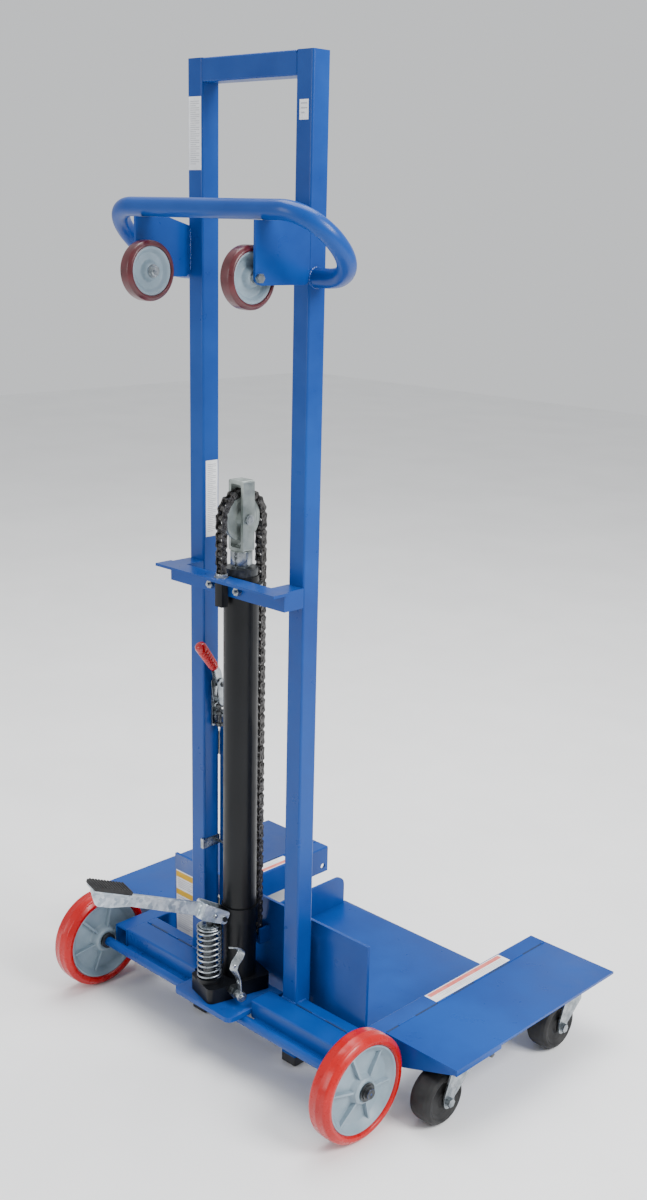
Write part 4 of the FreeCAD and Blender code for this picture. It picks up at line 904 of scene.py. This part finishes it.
def bead(shape, start, end, radius=2.4):
    """A run of weld ripples between two points."""
    start, end = Vector(start), Vector(end)
    count = max(4, int((end - start).length / RIPPLE_STEP))
    path = [start.lerp(end, k / count) for k in range(count + 1)]
    sizes = [0.35] + [ripple(k) for k in range(1, count)] + [0.35]
    side = (0, 0, 1) if abs((end - start).normalized().z) < 0.9 else (0, 1, 0)
    shape.swept(path, circle(radius, 8), scale=sizes, up=side)


def ring_bead(shape, centre, radius):
    """A weld all round a tube that ends on a face across X."""
    steps = 90
    path = [(centre[0], centre[1] + radius * math.cos(2 * math.pi * k / steps),
             centre[2] + radius * math.sin(2 * math.pi * k / steps)) for k in range(steps)]
    sizes = [ripple(k) for k in range(steps)]
    shape.swept(path, circle(RING_BEAD, 8), closed=True, scale=sizes, up=(1, 0, 0))


# The section of each thin strip of painted shade laid along a seam.
SEAM_SHADE_SECTION = [(-0.25, -2.1), (0.25, -2.1), (0.25, 2.1), (-0.25, 2.1)]


def stitches(shape, seam_shade, start, end, offset, run=48.0, gap=62.0):
    """Stitch welds along Y or X, with a thin darker-blue strip of painted shade along the seam between them."""
    start, end = Vector(start), Vector(end)
    length = (end - start).length
    along = (end - start).normalized()
    place = offset
    before = 0.0
    while place < length:
        stop = min(place + run, length)
        bead(shape, start + along * place, start + along * stop, 1.7)
        if place - before > SEAM_SHADE_LEAST:
            seam_shade.swept([start + along * before, start + along * place], SEAM_SHADE_SECTION)
        before = stop
        place += run + gap
    if length - before > SEAM_SHADE_LEAST:
        seam_shade.swept([start + along * before, end], SEAM_SHADE_SECTION)


def make_welds():
    """The weld beads, the strips of painted shade in the seams between stitch welds, and the strips over the
    axle's gap.
    """
    welds, seam_shade, strips = Shape(), Shape(), Shape()
    top = cross_high.z
    bracket_low, bracket_high = box_mm("wheel_brackets")
    handle_z = middle_of("transport_tyre_left").z
    handle_y = mast_y + 15.5
    plate_high = box_mm("pump_plate")[1]
    axle_low, axle_high = box_mm("rear_axle")
    strip_low = (axle_low.z + axle_high.z) / 2 + 1.5
    strip_back, strip_front = axle_low.y + 14, mast_y - 49
    strip = [(strip_back, strip_low), (strip_front, strip_low), (strip_front, strip_low + 5),
             (strip_back, strip_low + 5)]
    for _, side in SIDES:
        plate_x, rail_x, corner_y = side * plate_high.x, side * rail_low.x, mast_high.y - 36
        bead(welds, (side * mast_in, mast_y, top), (side * mast_out, mast_y, top))
        bead(welds, (side * mast_out, mast_y + 2, top), (side * mast_out, cross_high.y - 2, top))
        bead(welds, (plate_x, mast_y - 48, plate_high.z), (plate_x, mast_y - 3, plate_high.z))
        bead(welds, (rail_x, mast_y - 48, top - 2), (rail_x, mast_y + 24, top - 2), 1.8)
        bead(welds, (side * (mast_out - 5), mast_y, bracket_low.z + 10),
             (side * (mast_out - 5), mast_y, bracket_high.z - 16))
        ring_bead(welds, (side * mast_out, handle_y, handle_z), 16.2)
        stitches(welds, seam_shade, (side * rail_high.x, wing_low.y + 4, rail_high.z),
                 (side * rail_high.x, wing_high.y - 4, rail_high.z), 30.0)
        stitches(welds, seam_shade, (side * (mast_out + 3), mast_y, top),
                 (side * (rail_low.x - 3), mast_y, top), 40.0, run=34.0, gap=52.0)
        bead(welds, (side * mast_in, corner_y, mast_top - 38), (side * mast_in, corner_y, mast_top - 4), 1.8)
        strips.prism(strip, *sorted((side * (plate_high.x + 14), side * (rail_low.x - 8))))
    strips.piece("axle_strips", "frame", "blue_paint", bevel=0.6)
    welds.piece("weld_beads", "frame", "blue_paint")
    seam_shade.piece("seam_shadows", "frame", "blue_paint", looks=[SEAM_SHADE])


make_welds()


# ---------------------------------------------------------------- labels

LABEL_THICK = 0.25
LABEL_LIFT = 0.05
LABEL_SUNK = 0.02
RULE_FILL = 0.35
RULE_SHORT = 0.62
MAST_LABEL_LONG = 117
INNER_LABEL_LONG = 140
BACK_LABEL_LONG = 139
RAIL_LABEL_LONG = 228


def label(name, body, corner, across_edge, down_edge, bands):
    """A thin label from a corner and its two edges, with colour bands and plain ruled bars."""
    corner, u, v = Vector(corner), Vector(across_edge), Vector(down_edge)
    out = v.cross(u).normalized()
    palette = [MATERIALS["label"], PRINT["yellow"], PRINT["red"], PRINT["grey"]]
    marks = {"yellow": 1, "red": 2, "grey": 3}
    shape = Shape()

    def patch(x0, x1, y0, y1, lift, mark):
        base = [corner + u * a + v * b for a, b in ((x0, y0), (x1, y0), (x1, y1), (x0, y1))]
        verts = [p - out * LABEL_SUNK for p in base] + [p + out * lift for p in base]
        shape.add(verts, [[0, 1, 2, 3], [4, 5, 6, 7], [0, 1, 5, 4], [1, 2, 6, 5], [2, 3, 7, 6],
                          [3, 0, 4, 7]], mark=mark)

    patch(0, 1, 0, 1, LABEL_THICK, 0)
    for x0, x1, y0, y1, colour in bands:
        patch(x0, x1, y0, y1, LABEL_THICK + LABEL_LIFT, marks[colour])
    shape.piece(name, body, "label", looks=palette)


def ruled(x0, x1, y0, y1, count):
    """Plain grey bars one under another; every third is short."""
    bars = []
    step = (y1 - y0) / count
    for k in range(count):
        end = x1 if k % 3 != 2 else x0 + (x1 - x0) * RULE_SHORT
        bars.append((x0, end, y0 + step * k, y0 + step * (k + RULE_FILL), "grey"))
    return bars


def make_labels():
    """Six generic labels in the places of the real ones."""
    label("label_mast_upper", "frame", (-mast_out + 3, mast_y, 1743), (mast_out - mast_in - 6, 0, 0),
          (0, 0, -MAST_LABEL_LONG), ruled(0.14, 0.86, 0.06, 0.94, 30))
    label("label_mast_inner", "frame", (-mast_in, mast_y + 6, 1130), (0, 28, 0),
          (0, 0, -INNER_LABEL_LONG), ruled(0.14, 0.86, 0.05, 0.95, 36))
    label("label_mast_right", "frame", (mast_in + 9, mast_y, 1730), (20, 0, 0), (0, 0, -30),
          ruled(0.15, 0.85, 0.15, 0.85, 3))
    back_left = box_mm("back_plate")[0].x
    back_face = box_mm("deck")[0].y - 6.0
    label("label_back", "carriage", (back_left + 4, back_face, 250), (70, 0, 0), (0, 0, -BACK_LABEL_LONG),
          [(0.0, 1.0, 0.02, 0.11, "yellow"), (0.0, 1.0, 0.31, 0.40, "yellow")]
          + ruled(0.08, 0.92, 0.14, 0.29, 5) + ruled(0.08, 0.92, 0.43, 0.96, 15))
    for side_name, side in SIDES:
        start = rail_low.x * side + 4 * side
        middle_y = rail_high.y - 228
        label(f"label_rail_{side_name}", "frame",
              (start, middle_y + RAIL_LABEL_LONG / 2 * side, rail_high.z),
              (30 * side, 0, 0), (0, -RAIL_LABEL_LONG * side, 0), [(0.06, 0.40, 0.02, 0.98, "red")]
              + [(0.50, 0.54, 0.04, 0.9, "grey"), (0.62, 0.66, 0.04, 0.82, "grey"),
                 (0.74, 0.78, 0.04, 0.9, "grey"), (0.86, 0.90, 0.04, 0.6, "grey")])


make_labels()


# ---------------------------------------------------------------- floor, light and camera

FLOOR_REACH = 9.0
FLOOR_LEVEL = -0.001
CAMERA_FROM_MAST = Vector((1.79363, -1.6336, 1.54764))
CAMERA_YAW, CAMERA_PITCH, CAMERA_ROLL = 43.11, 16.81, 1.67
CAMERA_LENS = 41.89
CAMERA_SHIFT = (-0.0228, 0.0372)
WORLD_COLOUR = (0.96, 0.98, 1.0, 1.0)
WORLD_STRENGTH = 0.8


def make_floor():
    """A plain pale floor, a millimetre under the wheels."""
    reach, level = FLOOR_REACH, FLOOR_LEVEL
    mesh = bpy.data.meshes.new("floor")
    mesh.from_pydata([(-reach, -reach, level), (reach, -reach, level), (reach, reach, level),
                      (-reach, reach, level)], [], [[0, 1, 2, 3]])
    mesh.materials.append(finish_of("floor_pale", (0.86, 0.86, 0.86), (0.90, 0.90, 0.90), (0.55, 0.7),
                                    patch=2.0, grain=300.0, grain_bump=0.02))
    floor = bpy.data.objects.new("floor", mesh)
    bpy.context.scene.collection.objects.link(floor)


def area_light(name, place, target, size, power):
    light = bpy.data.lights.new(name, "AREA")
    light.shape = "RECTANGLE"
    light.size, light.size_y = size
    light.energy = power
    made = bpy.data.objects.new(name, light)
    made.location = place
    made.rotation_euler = (Vector(target) - Vector(place)).to_track_quat("-Z", "Y").to_euler()
    bpy.context.scene.collection.objects.link(made)


def make_lights():
    """A pale even world with three soft area lights: place, target, size and power in watts."""
    world = bpy.data.worlds.new("studio")
    world.use_nodes = True
    world.node_tree.nodes["Background"].inputs["Color"].default_value = WORLD_COLOUR
    world.node_tree.nodes["Background"].inputs["Strength"].default_value = WORLD_STRENGTH
    bpy.context.scene.world = world
    area_light("key", (3.6, 0.6, 3.4), (0.1, 0.0, 0.5), (2.0, 2.0), 260)
    area_light("top", (-0.6, 0.6, 4.6), (0.0, 0.0, 0.0), (3.0, 3.0), 190)
    area_light("fill", (-1.6, -4.2, 2.0), (0.0, 0.0, 0.9), (1.4, 2.4), 60)


def make_camera():
    """The camera, placed by its offset from the mast and its yaw, pitch and roll."""
    yaw, pitch, roll = (math.radians(a) for a in (CAMERA_YAW, CAMERA_PITCH, CAMERA_ROLL))
    forward = Vector((-math.sin(yaw) * math.cos(pitch), math.cos(yaw) * math.cos(pitch), -math.sin(pitch)))
    right = Vector((math.cos(yaw), math.sin(yaw), 0))
    up = right.cross(forward)
    tilted_right = right * math.cos(roll) + up * math.sin(roll)
    tilted_up = up * math.cos(roll) - right * math.sin(roll)
    data = bpy.data.cameras.new("camera")
    data.sensor_width = 36.0
    data.sensor_fit = "AUTO"
    data.lens = CAMERA_LENS
    data.shift_x, data.shift_y = CAMERA_SHIFT
    data.clip_end = 60.0
    camera = bpy.data.objects.new("camera", data)
    turn = Matrix((tilted_right, tilted_up, -forward)).transposed().to_4x4()
    camera.matrix_world = Matrix.Translation(CAMERA_FROM_MAST + Vector((0, mast_y * MM, 0))) @ turn
    bpy.context.scene.collection.objects.link(camera)
    bpy.context.scene.camera = camera


make_floor()
make_lights()
make_camera()
